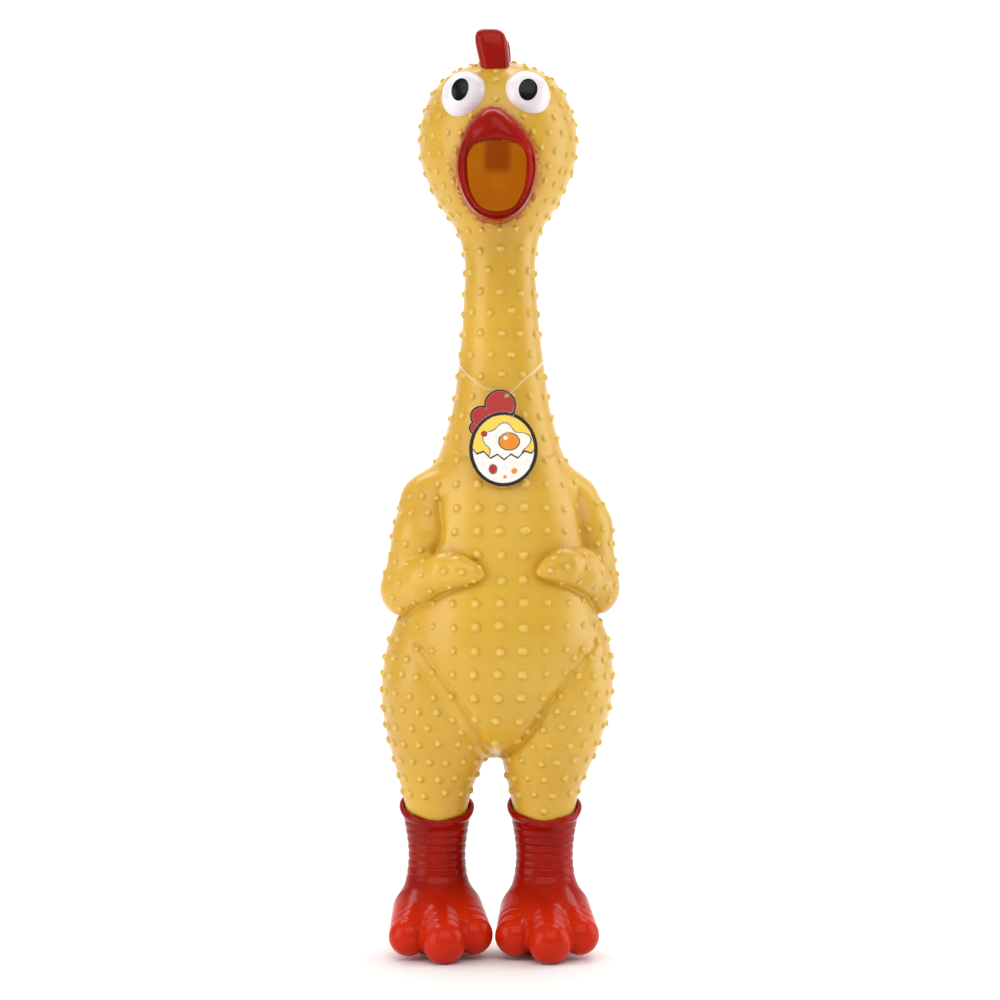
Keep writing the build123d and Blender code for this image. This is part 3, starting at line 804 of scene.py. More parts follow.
def skin_pieces(materials):
    points, faces, normals = surface(skin, *SKIN_BOX, SKIN_STEP)
    middle = points[faces].mean(1)
    mouth = (beak_gap(middle[:, 0], middle[:, 2], mouth_loop) < MOUTH_CUT) & (middle[:, 1] < FACE_Y)
    solid = (middle[:, 2] > LEG_END) & ~mouth
    press = np.array(BELLY_OUT) - np.array(BELLY_IN)
    pressed = smooth_step((points - np.array(BELLY_IN)) @ press / (press @ press), DEEPER_FROM, 0.0)
    wall = WALL + BELLY_DEPTH * pressed * (points[:, 2] > TORSO_BOTTOM) * (points[:, 1] < DEEPER_Y)
    centres, sizes = kept_nubs()
    shares = skin_zones(centres)
    made = {}
    for name, zone in skin_zones(middle).items():
        form = shell(points, faces[zone & solid], normals, wall)
        form.add(nub_form(skin, centres[shares[name]], sizes[shares[name]]))
        if name == "head_vinyl":
            form.marks["spray"] = overspray(form.points)
            # The hollow mark carries painted shade: a darker patch on the back wall inside the mouth.
            form.marks["hollow"] = inside_shade(form.points)
        made[name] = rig.slot(form.piece(name, *materials), "yellow_skin")
    return made


# ---- beak, comb and eyes ----

BEAK_BOX, BEAK_STEP = ((-20, -51, 309), (20, -18, 364)), 0.6
FLARE_Y, BEVEL_Y, BEVEL_Z = (-34.0, -43.0), (-44.5, -36.0), (334.0, 343.0)
# The mouth's lower wall is bare yellow from this far behind the lip, and below this height.
BARE_BEHIND, BARE_Z = (3.2, 4.6), (340.0, 336.0)


def beak_front(z, to_mouth, to_edge):
    """The y of the beak's front: a ring with two ridges below, and a domed hood above."""
    past_brow = HOOD_SOFT * np.log1p(np.exp((z - HOOD_BROW_Z) / HOOD_SOFT))
    face = BEAK_FACE_Y - BEAK_SLOPE * (z - past_brow - BEAK_MIDDLE_Z)
    u = np.clip(to_mouth / np.maximum(to_mouth - to_edge, 0.5), 0, 1)
    lip, ridge = (height * bell((u - place) / width) for height, place, width in (RING_LIP, RING_RIDGE))
    ring = RING_SINK - lip - ridge
    inward = np.clip(-to_edge / HOOD_REACH, 0, 1)
    dome = HOOD_DOME * (1 - np.sqrt(1 - (1 - inward) ** 2))
    hood = smooth_step(z, HOOD_START_Z, HOOD_FULL_Z)
    return face + hood * dome + (1 - hood) * ring


def beak_field(p):
    x, y, z = p.T
    to_mouth, to_edge = beak_gap(x, z, mouth_loop), beak_gap(x, z, beak_loop)
    front = beak_front(z, to_mouth, to_edge) - y
    flare = BEAK_FLARE * smooth_step(y, *FLARE_Y)
    d = common(to_edge + flare, front, BEAK_ROUND)
    bevel = MOUTH_BEVEL * smooth_step(y, *BEVEL_Y) * smooth_step(z, *BEVEL_Z)
    d = common(d, bevel - to_mouth, LIP_ROUND)
    return common(d, y - BEAK_BACK_Y, 0.5)


def beak_piece(red):
    points, faces, normals = surface(beak_field, *BEAK_BOX, BEAK_STEP)
    x, y, z = points.T
    to_mouth, to_edge = beak_gap(x, z, mouth_loop), beak_gap(x, z, beak_loop)
    behind = y - beak_front(z, to_mouth, to_edge)
    bare = smooth_step(behind, *BARE_BEHIND) * (to_mouth < 1.0) * smooth_step(z, *BARE_Z)
    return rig.slot(Form(points, faces, normals, bare=bare).piece("beak_vinyl", red), "red_skin")


# Each lobe of the comb: middle, half width, half depth, half height, and its lean to the side.
COMB_LOBES = [
    ((-2.2, -14.2, 384.8), 6.6, 7.2, 12.8, -0.16),
    ((-1.0, 1.0, 386.4), 6.3, 6.8, 10.6, -0.12),
    ((0.0, 13.0, 382.2), 5.4, 6.0, 9.0, -0.06),
]


LOBE_WIDTH, LOBE_WIDENING = 0.995, 0.145 # at the middle, and how much wider at the top
LOBE_SQUARE, LOBE_FLAT, LOBE_POWER = 3.4, 4.2, 3.6
LOBE_FILLET, COMB_ROOT = 1.4, 1.0  # the lobes' joins, and how deep in the skin the comb ends
COMB_BOX, COMB_STEP = ((-13, -24, 364), (12, 24, 402)), 0.7


def comb_field(p):
    """Three thick flat-sided lobes, wider at the top."""
    d = None
    for centre, width, depth, height, tilt in COMB_LOBES:
        q = p - np.array(centre)
        wide = width * (LOBE_WIDTH + LOBE_WIDENING * np.clip(q[:, 2] / height, -1.2, 1.2))
        across = np.abs((q[:, 0] - tilt * q[:, 2]) / wide) ** LOBE_SQUARE
        along, up = np.abs(q[:, 1] / depth) ** LOBE_SQUARE, np.abs(q[:, 2] / height) ** LOBE_FLAT
        lobe = ((across + along + up) ** (1 / LOBE_POWER) - 1) * min(width, depth)
        d = lobe if d is None else joined(d, lobe, LOBE_FILLET)
    return common(d, -(trunk(p) + COMB_ROOT), 0.4)


def comb_piece(red):
    form = Form(*surface(comb_field, *COMB_BOX, COMB_STEP))
    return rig.slot(form.piece("comb_vinyl", red), "red_skin")


DISC_SIDES = 64


def disc_form(outline, height, base, centre, axes, rings):
    """A closed button: a front that rises to height(u, v) over an outline, on a flat back."""
    turn = np.arange(DISC_SIDES) * 2 * math.pi / DISC_SIDES
    rim_u, rim_v = outline(turn)
    mid_u, mid_v = rim_u.mean(), rim_v.mean()
    rows = []
    for share in np.sin(np.linspace(0, math.pi / 2, rings + 1))[1:]:
        u, v = mid_u + share * (rim_u - mid_u), mid_v + share * (rim_v - mid_v)
        rows.append(np.stack([u, v, height(u, v)], 1))
    rows.append(np.stack([rim_u, rim_v, np.full(DISC_SIDES, base)], 1))
    top = [[mid_u, mid_v, float(height(mid_u, mid_v))]]
    local = np.concatenate([*rows, top, [[mid_u, mid_v, base]]])
    return Form(np.array(centre) + local @ np.array(axes), button_faces(len(rows), DISC_SIDES), None)


# Half width, half height and how egg-shaped; and each pupil's place on its eye, half width and half height.
EYE_SIZE = {"right": (10.2, 10.9, 0.03), "left": (10.5, 10.6, -0.02)}
PUPIL_PLACE = {"right": (-0.5, -0.6, 3.7, 5.0), "left": (-0.9, -1.0, 4.0, 4.8)}
EYE_BULGE, EYE_SET_BACK, EYE_POWER, EYE_OVERSIZE, EYE_EGG_TURN = 11.4, 0.8, 2.3, 1.02, 0.9
EYE_BASE, PUPIL_BASE, PUPIL_RISE, PUPIL_SLANT = -3.0, EYE_BULGE * 0.55, 0.22, 0.075


def eye_pieces(white, black):
    made = []
    for side, name in ((-1, "right"), (1, "left")):
        out = unit(np.array(EYE_LOOK) * (side, 1, 1))
        across = unit(np.cross((0, 0, 1.0), out))
        up = np.cross(out, across)
        centre = np.array(EYE_CENTRES[name]) + out * EYE_SET_BACK
        half_width, half_height, egg = EYE_SIZE[name]

        def height(u, v):
            r = np.sqrt((u / (half_width * EYE_OVERSIZE)) ** 2 + (v / (half_height * EYE_OVERSIZE)) ** 2)
            return EYE_BULGE * np.maximum(1 - r**EYE_POWER, 0) ** (1 / EYE_POWER)

        def pupil_height(u, v):
            return height(u, v) + PUPIL_RISE

        def rim(turn):
            swell = 1 + egg * np.cos(turn + EYE_EGG_TURN)
            return half_width * swell * np.cos(turn), half_height * swell * np.sin(turn)

        pu, pv, pw, ph = PUPIL_PLACE[name]

        def pupil_rim(turn):
            return pu + pw * np.cos(turn) + PUPIL_SLANT * ph * np.sin(turn), pv + ph * np.sin(turn)

        cap = disc_form(rim, height, EYE_BASE, centre, (across, up, out), rings=26)
        disc = disc_form(pupil_rim, pupil_height, PUPIL_BASE, centre, (across, up, out), rings=8)
        cap_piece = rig.slot(cap.piece(f"{name}_eye_cap", white), "eye_white")
        disc_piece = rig.slot(disc.piece(f"{name}_pupil_disc", black), "eye_black")
        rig.replaces(cap_piece, f"{name}_eye")
        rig.replaces(disc_piece, f"{name}_pupil")
        made += [cap_piece, disc_piece]
    return made


# ---- boots ----

SHANK = [
    (10, 0, 0, 13.4, 13.4), (22, 0, 0, 15.2, 15.0), (32, 0, 0, 13.3, 13.0), (42, 0, 0, 12.5, 12.4),
    (50, 0, 0, 13.3, 13.2), (57.5, 0, 0, 14.6, 14.6), (64, 0, 0, 16.0, 16.0), (72, 0, 0, 16.8, 16.8),
]
INSTEP = [(0, -2, 18, 13), (0, -15, 11, 12)]
HEEL = [(0, 4, 11, 11.5), (0, 12, 8, 9)]
TOES = [
    [(-8.2, -8, 17, 11.8), (-13.8, -26, 10.2, 8.4)],
    [(0.3, -12, 15, 11.6), (0.8, -34.6, 8.9, 9.3)],
    [(8.2, -8, 17, 11.8), (13.8, -26, 10.4, 8.4)],
]
# Two wrinkles across each toe, at these shares of its length; toes merge more softly further back.
WRINKLE_PLACES, WRINKLE_DEPTH, WRINKLE_WIDTH, WRINKLE_Z = (0.66, 0.9), 0.16, 0.6, (7.0, 12.0)
TOE_FILLET, TOE_MERGE, TOE_MERGE_Y = 1.8, 4.5, (-31.0, -14.0)
HEEL_FILLET, FOOT_FILLET = 4.0, 5.0
BOOT_YAW = {"right": 5.0, "left": 1.5}
RIM_HEIGHT, RIM_TILT, RIM_SCALLOP = 63.0, math.radians(20.0), 0.35
RIM_LIP, RIM_LIP_DROP, RIM_LIP_WIDTH = 0.8, 1.9, 1.5  # the thicker lip below the rim
RING_PITCH, RING_LOW, RING_HIGH, RING_FADE, RING_DEPTH = 3.3, 29.0, 58.0, 3, 0.35
LEG_GAP, LEG_HOLE_BOTTOM = 0.35, 53.0  # the boot's hollow round the end of the leg
BOOT_BOX, BOOT_STEP = ((-26, -47, -2), (26, 24, 74)), 0.7
# The boots' red grows lighter and more orange from the first height down to the second, towards the toes.
FOOT_LIGHTER_Z = (30.0, 16.0)

shank = lofted(SHANK)
leg_inside = lofted([(z, 0, y, a, b) for z, x, y, a, b in THIGH[:3]])


def toe_field(p, toe):
    """One toe, wrinkled over its knuckle."""
    start, end = np.array(toe, float)
    along = unit((end - start)[None, :3])[0]
    walk = (p - start[:3]) @ along
    length = np.linalg.norm((end - start)[:3])
    top = smooth_step(p[:, 2], *WRINKLE_Z)
    wrinkles = sum(bell((walk - length * place) / WRINKLE_WIDTH) for place in WRINKLE_PLACES)
    return round_cone(p, *toe) + WRINKLE_DEPTH * wrinkles * top


def boot_field(p):
    x, y, z = p.T
    rings = (0.5 + 0.5 * np.cos(2 * math.pi * z / RING_PITCH)) ** 6
    fades = smooth_step(z, RING_HIGH - RING_FADE, RING_HIGH)
    ringed = smooth_step(z, RING_LOW, RING_LOW + RING_FADE) * (1 - fades)
    d = shank(p) + RING_DEPTH * rings * ringed
    d = joined(d, joined(round_cone(p, *INSTEP), round_cone(p, *HEEL), HEEL_FILLET), FOOT_FILLET)
    soft = TOE_FILLET + TOE_MERGE * smooth_step(y, *TOE_MERGE_Y)
    for toe in TOES:
        d = joined(d, toe_field(p, toe), soft)
    scallop = RIM_SCALLOP * np.sin(5 * np.arctan2(y, x) + 0.6)
    above = (z - RIM_HEIGHT - scallop) * math.cos(RIM_TILT) - y * math.sin(RIM_TILT)
    d = d - RIM_LIP * bell((above + RIM_LIP_DROP) / RIM_LIP_WIDTH)
    d = common(d, above, 1.6)
    d = common(d, -z, 0.8)
    hollow = common(leg_inside(p) - LEG_GAP, LEG_HOLE_BOTTOM - z, 0.5)
    return common(d, -hollow, 0.8)


def boot_pieces(red):
    points, faces, normals = surface(boot_field, *BOOT_BOX, BOOT_STEP)
    form = Form(points, faces, normals, foot=smooth_step(points[:, 2], *FOOT_LIGHTER_Z))
    made = {}
    for side, name in ((-1, "right"), (1, "left")):
        placed = form.moved(BOOT_YAW[name], (side * LEG_X + LEG_LEAN, 0, 0))
        made[name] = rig.slot(placed.piece(f"{name}_boot_vinyl", red), "red_skin")
    return made


# ---- tag and its filament ----

TAG_PIVOT = np.array([3.2, -24.0, 239.6])
TAG_LEAN = math.radians(15.5)
TAG_UP = np.array([0.0, math.sin(TAG_LEAN), math.cos(TAG_LEAN)])
TAG_OUT = np.array([0.0, -math.cos(TAG_LEAN), math.sin(TAG_LEAN)])
TAG_THICKNESS = 0.5
TAG_HOLE = 1.2
TAG_RINGS, TAG_SIDES = 90, 300
# The card's outline, measured from its hole: an egg, and round tabs as (x, y, radius).
EGG_MIDDLE = (-1.3, -23.8)
EGG_WIDTH, EGG_TOP, EGG_FOOT = 14.5, 16.8, 16.2
TAG_TABS = [(-2.7, -3.9, 6.8), (-10.8, -9.0, 4.7), (-13.0, -14.2, 3.0)]

LOOP_DIAMETER = 0.7
LOOP_LENGTH = 141.9
LOOP_FROM_LOCK = [
    (2.5, 19.6, 265.6), (7.2, 19.6, 265.6), (13.4, 15.4, 264.6), (18.0, 8.2, 262.4), (20.2, -0.8, 259.2),
    (19.8, -10.0, 255.2), (15.8, -18.2, 250.6), (11.8, -22.2, 247.4),
]
LOOP_AT_CARD = [
    (5.2, 4.6, 1.8), (2.2, 1.4, 1.7), (0.5, -0.1, 0.75), (-0.5, -0.1, -0.75), (-2.2, 1.2, -1.4),
    (-5.6, 3.2, -1.2),
]
LOOP_TO_LOCK = [
    (-7.6, -21.2, 243.6), (-12.4, -18.8, 247.6), (-17.0, -12.8, 252.6), (-19.6, -4.6, 257.4),
    (-19.2, 4.6, 261.4), (-14.8, 12.8, 264.2), (-8.2, 19.6, 265.6), (-2.5, 19.6, 265.6),
]


def on_card(x, y, z=0.0):
    """A place on the card, measured from its hole, in the frame."""
    return TAG_PIVOT + np.array([x, 0.0, 0.0]) + y * TAG_UP + z * TAG_OUT


def loop_route():
    return [*LOOP_FROM_LOCK, *(on_card(*p) for p in LOOP_AT_CARD), *LOOP_TO_LOCK]


def route_distance(p):
    """Distance from each point to the filament's route."""
    route = np.array(loop_route(), float)
    return np.min([round_cone(p, (*a, 0.0), (*b, 0.0)) for a, b in zip(route, route[1:])], axis=0)


def filament(clear):
    """The clear loop that the tag hangs on."""
    points = loop_route()
    curve = bpy.data.curves.new("tag_filament", "CURVE")
    curve.dimensions = "3D"
    spline = curve.splines.new("NURBS")
    spline.points.add(len(points) - 1)
    for knot, place in zip(spline.points, points):
        knot.co = (*(float(v) * MM for v in place), 1.0)
    spline.order_u = 3
    spline.use_endpoint_u = True
    spline.resolution_u = 12
    curve.bevel_depth = LOOP_DIAMETER / 2 * MM
    curve.bevel_resolution = 4
    curve.use_fill_caps = True
    curve.materials.append(clear)
    obj = bpy.data.objects.new("tag_filament", curve)
    bpy.context.scene.collection.objects.link(obj)
    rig.cord(
        obj,
        exit=[v * MM for v in LOOP_FROM_LOCK[0]],
        length=LOOP_LENGTH * MM,
        diameter=LOOP_DIAMETER * MM,
        far_end="object",
        stiffness="limp",
        lay="hanging",
        with_pieces=[frame["nodes"]["loop_lock"]],
    )
    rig.replaces(obj, "tag_loop")
    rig.slot(obj, "clear_filament")
    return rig.ride(obj, "torso")


def egg_radius(turn):
    """How far the egg's edge is from its middle in one direction."""
    tall = np.where(np.sin(turn) > 0, EGG_TOP, EGG_FOOT)
    return 1 / np.hypot(np.cos(turn) / EGG_WIDTH, np.sin(turn) / tall)


def tag_reach(turn):
    """How far the card's edge is from the egg's middle, the tabs included."""
    reach = egg_radius(turn)
    for x, y, radius in TAG_TABS:
        dx, dy = x - EGG_MIDDLE[0], y - EGG_MIDDLE[1]
        along = dx * np.cos(turn) + dy * np.sin(turn)
        off = dx * np.sin(turn) - dy * np.cos(turn)
        hit = (np.abs(off) < radius) & (along > 0)
        far = along + np.sqrt(np.maximum(radius**2 - off**2, 0))
        reach = np.where(hit, np.maximum(reach, far), reach)
    return reach


# The print's inks.
INK_WHITE, INK_YELLOW, INK_ORANGE, INK_RED, INK_DARK = 0, 1, 2, 3, 4
# The print, measured from the egg's middle. Spots are (x, y, radius).
SPLASH, YOLK, YOLK_SHINE = (1.0, 2.0, 9.0), (2.4, 3.6, 4.4), (0.9, 5.2, 0.9)
YOLK_SQUASH, YOLK_LINE, SPLASH_LINE = 1.15, 0.25, 0.22
SPLASH_WAVES = ((1.3, 5, 0), (0.8, 3, 1))  # each wave's height, number and turn
CRACK_Y, CRACK_TOOTH, CRACK_HALF_TOOTH, CRACK_DIP, CRACK_LINE = -4.4, 2.2, 2.9, 0.02, 0.4
DROP, DROP_SQUASH, DROP_LINE, RED_SPOT = (-4.4, -8.6, 2.0), 1.2, 0.2, (-8.2, 7.0, 1.4)
ORANGE_SPOTS = ((4.6, -9.4, 1.3), (0.6, -12.0, 0.8))
EGG_RIM, TAB_RIM = 1.5, 0.75


def from_spot(u, v, spot, squash_u=1.0, squash_v=1.0):
    """How far each place is past a spot's edge, negative inside, for a spot narrower by the squashes."""
    return np.hypot((u - spot[0]) * squash_u, (v - spot[1]) * squash_v) - spot[2]


def tag_print(x, y):
    """The ink at each place on the card: red tabs, a dark rim, and a cracked egg with its yolk."""
    u, v = x - EGG_MIDDLE[0], y - EGG_MIDDLE[1]
    depth = egg_radius(np.arctan2(v, u)) - np.hypot(u, v)
    tab_depth = np.max([-from_spot(x, y, tab) for tab in TAG_TABS], axis=0)
    round_splash = np.arctan2(v - SPLASH[1], u - SPLASH[0])
    waves = (height * np.sin(number * round_splash + turn) for height, number, turn in SPLASH_WAVES)
    splash = from_spot(u, v, SPLASH) - sum(waves)
    yolk = from_spot(u, v, YOLK, squash_v=YOLK_SQUASH)
    crack = CRACK_Y + CRACK_TOOTH * np.abs(((u + 20) / CRACK_HALF_TOOTH) % 2 - 1) + CRACK_DIP * u * u
    drop = from_spot(u, v, DROP, squash_u=DROP_SQUASH)
    ink = np.full(len(x), INK_YELLOW)
    for where, colour_there in (
        (splash < 0, INK_WHITE),
        (np.abs(splash) < SPLASH_LINE, INK_DARK),
        (yolk < 0, INK_ORANGE),
        (np.abs(yolk) < YOLK_LINE, INK_DARK),
        (from_spot(u, v, YOLK_SHINE) < 0, INK_WHITE),
        (v < crack, INK_WHITE),
        (np.abs(v - crack) < CRACK_LINE, INK_DARK),
        ((drop < 0) | (from_spot(u, v, RED_SPOT) < 0), INK_RED),
        (np.abs(drop) < DROP_LINE, INK_DARK),
        *((from_spot(u, v, spot) < 0, INK_ORANGE) for spot in ORANGE_SPOTS),
        (depth < EGG_RIM, INK_DARK),
        ((depth < 0) & (tab_depth > 0), INK_RED),
        ((depth < 0) & (tab_depth < TAB_RIM), INK_DARK),
    ):
        ink = np.where(where, colour_there, ink)
    return ink


def tag_form():
    """The card as a fine polar mesh, with a hole near the top of its first tab."""
    rings, sides = TAG_RINGS, TAG_SIDES
    turn = np.arange(sides) * 2 * math.pi / sides
    reach = tag_reach(turn)
    shares = (np.arange(rings + 1) / rings)[:, None]
    x = (EGG_MIDDLE[0] + shares * reach * np.cos(turn)).ravel()
    y = (EGG_MIDDLE[1] + shares * reach * np.sin(turn)).ravel()
    i, j = np.meshgrid(np.arange(rings), np.arange(sides), indexing="ij")
    quads = np.stack(ring_quad(i, j, (j + 1) % sides, sides), -1).reshape(-1, 4)
    # The quads over the hole go, and the points left round it move on to its edge.
    gap = np.hypot(x, y)
    quads = quads[(gap[quads].max(1) > TAG_HOLE + 0.12)]
    quads = quads[(gap[quads].min(1) > TAG_HOLE * 0.55)]
    inner = gap < TAG_HOLE * 1.12
    scale = np.where(inner, TAG_HOLE / np.maximum(gap, 0.1), 1.0)
    x, y = x * scale, y * scale
    ink = tag_print(x, y)
    front = np.array([on_card(a, b, TAG_THICKNESS / 2) for a, b in zip(x, y)])
    normals = np.tile(TAG_OUT, (len(front), 1))
    form = shell(front, quads, normals, TAG_THICKNESS)
    used = np.unique(quads)
    twice = np.concatenate([ink[used], np.full(len(used), INK_WHITE)])
    for n, name in ((INK_YELLOW, "yellow"), (INK_ORANGE, "orange"), (INK_RED, "red"), (INK_DARK, "dark")):
        form.marks[name] = (twice == n).astype(float)  # read by the card's material
    form.slots = [0] * len(form.faces)  # one material all over
    form.normals = None
    return form


# ---- materials ----

def colour(red, green, blue):
    """A display colour, 0 to 255 each, as the linear colour that shaders take."""
    parts = [c / 255 for c in (red, green, blue)]
    return (*(c / 12.92 if c < 0.04045 else ((c + 0.055) / 1.055) ** 2.4 for c in parts), 1.0)


# Settings of the principled shader that are constants.
YELLOW_SKIN = {
    "IOR": 1.46, "Coat Weight": 0.12, "Coat Roughness": 0.22,
    "Subsurface Weight": 0.12, "Subsurface Scale": 0.006, "Subsurface Radius": (1.0, 0.5, 0.1),
}
# The skin's inner side glows a little in its amber colour: painted light, standing in for light that shines through
# the thin vinyl.
INSIDE_SKIN_PAINTED_GLOW = {"IOR": 1.46, "Roughness": 0.5, "Emission Strength": 0.6}
RED_PAINT = {"IOR": 1.48, "Specular IOR Level": 0.08, "Coat Weight": 0.12, "Coat Roughness": 0.08}
EYE_PAINT = {"IOR": 1.5, "Coat Weight": 0.3, "Coat Roughness": 0.15}
PUPIL_PAINT = {"IOR": 1.5, "Specular IOR Level": 0.15, "Coat Weight": 0.12, "Coat Roughness": 0.08}
PRINTED_CARD = {"IOR": 1.5, "Specular IOR Level": 0.15, "Coat Weight": 0.05}
CLEAR_PLASTIC = {"IOR": 1.4, "Transmission Weight": 0.92}
SQUEAKER_PLASTIC = {"IOR": 1.49}

YELLOW, YELLOW_DEEP, YELLOW_TIP_HIGHLIGHT = colour(216, 172, 52), colour(200, 154, 40), colour(232, 192, 84)
RED, RED_DEEP, RED_LIGHTER_TOES = colour(158, 20, 5), colour(130, 14, 5), colour(194, 37, 9)
AMBER, AMBER_LIGHT, AMBER_PAINTED_SHADE = colour(168, 102, 14), colour(180, 116, 20), colour(134, 64, 8)
EYE_WHITE, EYE_SHADE = colour(230, 224, 229), colour(220, 211, 218)
PUPIL_BLACK, PUPIL_GREY = colour(4, 4, 5), colour(12, 12, 13)
PAPER, PAPER_SHADE = colour(246, 243, 236), colour(232, 228, 220)
INKS = {
    "yellow": colour(244, 206, 84), "orange": colour(232, 140, 34), "red": colour(178, 50, 50),
    "dark": colour(38, 24, 16),
}
CLEAR, CLEAR_SHADE = colour(253, 253, 253), colour(246, 246, 246)
CASE, CASE_SHADE = colour(226, 224, 216), colour(212, 210, 202)
CORE, CORE_SHADE = colour(196, 190, 176), colour(180, 174, 160)
STRIP, STRIP_SHADE = colour(150, 160, 168), colour(132, 142, 150)


class Shader:
    """A principled material with short calls for the nodes round it."""

    def __init__(self, name, constants):
        self.material = bpy.data.materials.new(name)
        self.material.use_nodes = True
        self.tree = self.material.node_tree
        self.main = self.tree.nodes["Principled BSDF"]
        self.place = self.tree.nodes.new("ShaderNodeTexCoord").outputs["Object"]
        for socket, value in constants.items():
            self.main.inputs[socket].default_value = value

    def feed(self, socket, value):
        if isinstance(value, bpy.types.NodeSocket):
            self.tree.links.new(value, socket)
        else:
            socket.default_value = value

    def node(self, kind, *values, **inputs):
        """A new node, fed by the order of its sockets or by their names."""
        made = self.tree.nodes.new("ShaderNode" + kind)
        for n, value in enumerate(values):
            self.feed(made.inputs[n], value)
        for socket, value in inputs.items():
            self.feed(made.inputs[socket.replace("_", " ")], value)
        return made

    def noise(self, scale, detail=2.0):
        return self.node("TexNoise", Vector=self.place, Scale=scale, Detail=detail).outputs["Fac"]

    def mark(self, name):
        made = self.node("Attribute")
        made.attribute_name = name
        return made.outputs["Fac"]

    def ranged(self, value, low, high, to_low=0.0, to_high=1.0):
        return self.node("MapRange", value, low, high, to_low, to_high).outputs["Result"]

    def times(self, a, b):
        made = self.node("Math", a, b)
        made.operation = "MULTIPLY"
        return made.outputs[0]

    def mix(self, share, a, b):
        made = self.node("Mix")
        made.data_type = "RGBA"
        for n, value in ((0, share), (6, a), (7, b)):  # the sockets of the colour kind
            self.feed(made.inputs[n], value)
        return made.outputs[2]

    def set(self, socket, value):
        self.feed(self.main.inputs[socket], value)

    def gloss(self, scale, detail, low, high):
        """Roughness that wanders between two values."""
        self.set("Roughness", self.ranged(self.noise(scale, detail), 0.3, 0.7, low, high))

    def grain(self, scale, detail, strength, distance):
        """Fine bumps."""
        made = self.node("Bump", Height=self.noise(scale, detail), Strength=strength, Distance=distance)
        self.set("Normal", made.outputs["Normal"])


def yellow_vinyl():
    s = Shader("yellow_vinyl", YELLOW_SKIN)
    base = s.mix(s.ranged(s.noise(16.0), 0.35, 0.68), YELLOW, YELLOW_DEEP)
    mottled = s.mix(s.ranged(s.noise(170.0, 4.0), 0.45, 0.8, 0.0, 0.22), base, YELLOW_DEEP)
    # The nubs' tops are painted lighter by their lift: a painted highlight.
    tip_highlighted = s.mix(s.ranged(s.mark("lift"), 0.25, 1.0, 0.0, 0.6), mottled, YELLOW_TIP_HIGHLIGHT)
    fleck = s.ranged(s.noise(620.0, 5.0), 0.36, 0.62)
    spray = s.times(s.ranged(s.mark("spray"), 0.12, 0.85), fleck)
    s.set("Base Color", s.mix(spray, tip_highlighted, RED))
    s.gloss(90.0, 3.0, 0.26, 0.36)
    s.grain(1500.0, 3.0, 0.12, 0.0003)
    return s.material


def vinyl_inside():
    s = Shader("vinyl_inside", INSIDE_SKIN_PAINTED_GLOW)
    tone = s.mix(s.ranged(s.noise(60.0), 0.3, 0.7), AMBER, AMBER_LIGHT)
    # The hollow mark darkens a patch on the back wall towards a deeper amber: painted shade.
    shaded = s.mix(s.times(s.mark("hollow"), 0.85), tone, AMBER_PAINTED_SHADE)
    s.set("Base Color", shaded)
    # The inner side glows in its own colour: a painted glow for light through the skin.
    s.set("Emission Color", shaded)
    s.grain(700.0, 3.0, 0.1, 0.0004)
    return s.material


def red_vinyl():
    s = Shader("red_vinyl", RED_PAINT)
    tone = s.mix(s.ranged(s.noise(45.0, 3.0), 0.35, 0.7), RED, RED_DEEP)
    # Towards the toes the red is lighter and more orange.
    tone = s.mix(s.mark("foot"), tone, RED_LIGHTER_TOES)
    s.set("Base Color", s.mix(s.mark("bare"), tone, YELLOW_DEEP))
    s.gloss(120.0, 3.0, 0.17, 0.26)
    s.grain(500.0, 3.0, 0.08, 0.0004)
    return s.material


def eye_paint():
    s = Shader("eye_paint", EYE_PAINT)
    s.set("Base Color", s.mix(s.ranged(s.noise(110.0, 3.0), 0.4, 0.75), EYE_WHITE, EYE_SHADE))
    s.gloss(200.0, 2.0, 0.28, 0.36)
    s.grain(900.0, 2.0, 0.06, 0.0003)
    return s.material


def pupil_paint():
    s = Shader("pupil_paint", PUPIL_PAINT)
    s.set("Base Color", s.mix(s.noise(300.0), PUPIL_BLACK, PUPIL_GREY))
    s.gloss(250.0, 2.0, 0.2, 0.3)
    return s.material


def printed_card():
    s = Shader("printed_card", PRINTED_CARD)
    printed = s.mix(s.noise(400.0, 4.0), PAPER, PAPER_SHADE)
    for name, ink in INKS.items():
        printed = s.mix(s.mark(name), printed, ink)
    s.set("Base Color", printed)
    s.gloss(300.0, 2.0, 0.3, 0.42)
    s.grain(1200.0, 4.0, 0.08, 0.0002)
    return s.material


def clear_plastic():
    s = Shader("clear_plastic", CLEAR_PLASTIC)
    s.set("Base Color", s.mix(s.noise(300.0), CLEAR, CLEAR_SHADE))
    s.gloss(200.0, 2.0, 0.04, 0.1)
    return s.material


def squeaker_plastic(name, first, second, roughness):
    s = Shader(name, SQUEAKER_PLASTIC)
    s.set("Base Color", s.mix(s.noise(120.0, 3.0), first, second))
    s.gloss(300.0, 3.0, roughness, roughness + 0.12)
    s.grain(800.0, 3.0, 0.1, 0.0003)
    return s.material


# ---- set ----

CAMERA_PLACE, CAMERA_LENS, CAMERA_SENSOR = (0.00044, -1.1, 0.1954), 90.95, 36
OBJECT_MIDDLE = (0, 0, 0.2)
# The lights: azimuth, elevation, distance, width, height, power, and what they aim at.
SOFTBOXES = {
    "left_softbox": (-65, 8, 1.2, 0.8, 1.4, 9, OBJECT_MIDDLE),
    "right_softbox": (98, 8, 1.2, 0.8, 1.4, 9, OBJECT_MIDDLE),
    "front_key": (8, 45, 1.6, 1.6, 1.2, 11.5, OBJECT_MIDDLE),
    "backdrop_light": (0, 62, 2.4, 3.0, 1.2, 60, (0, 2.1, 0.3)),
}
WORLD_STRENGTH = 0.4
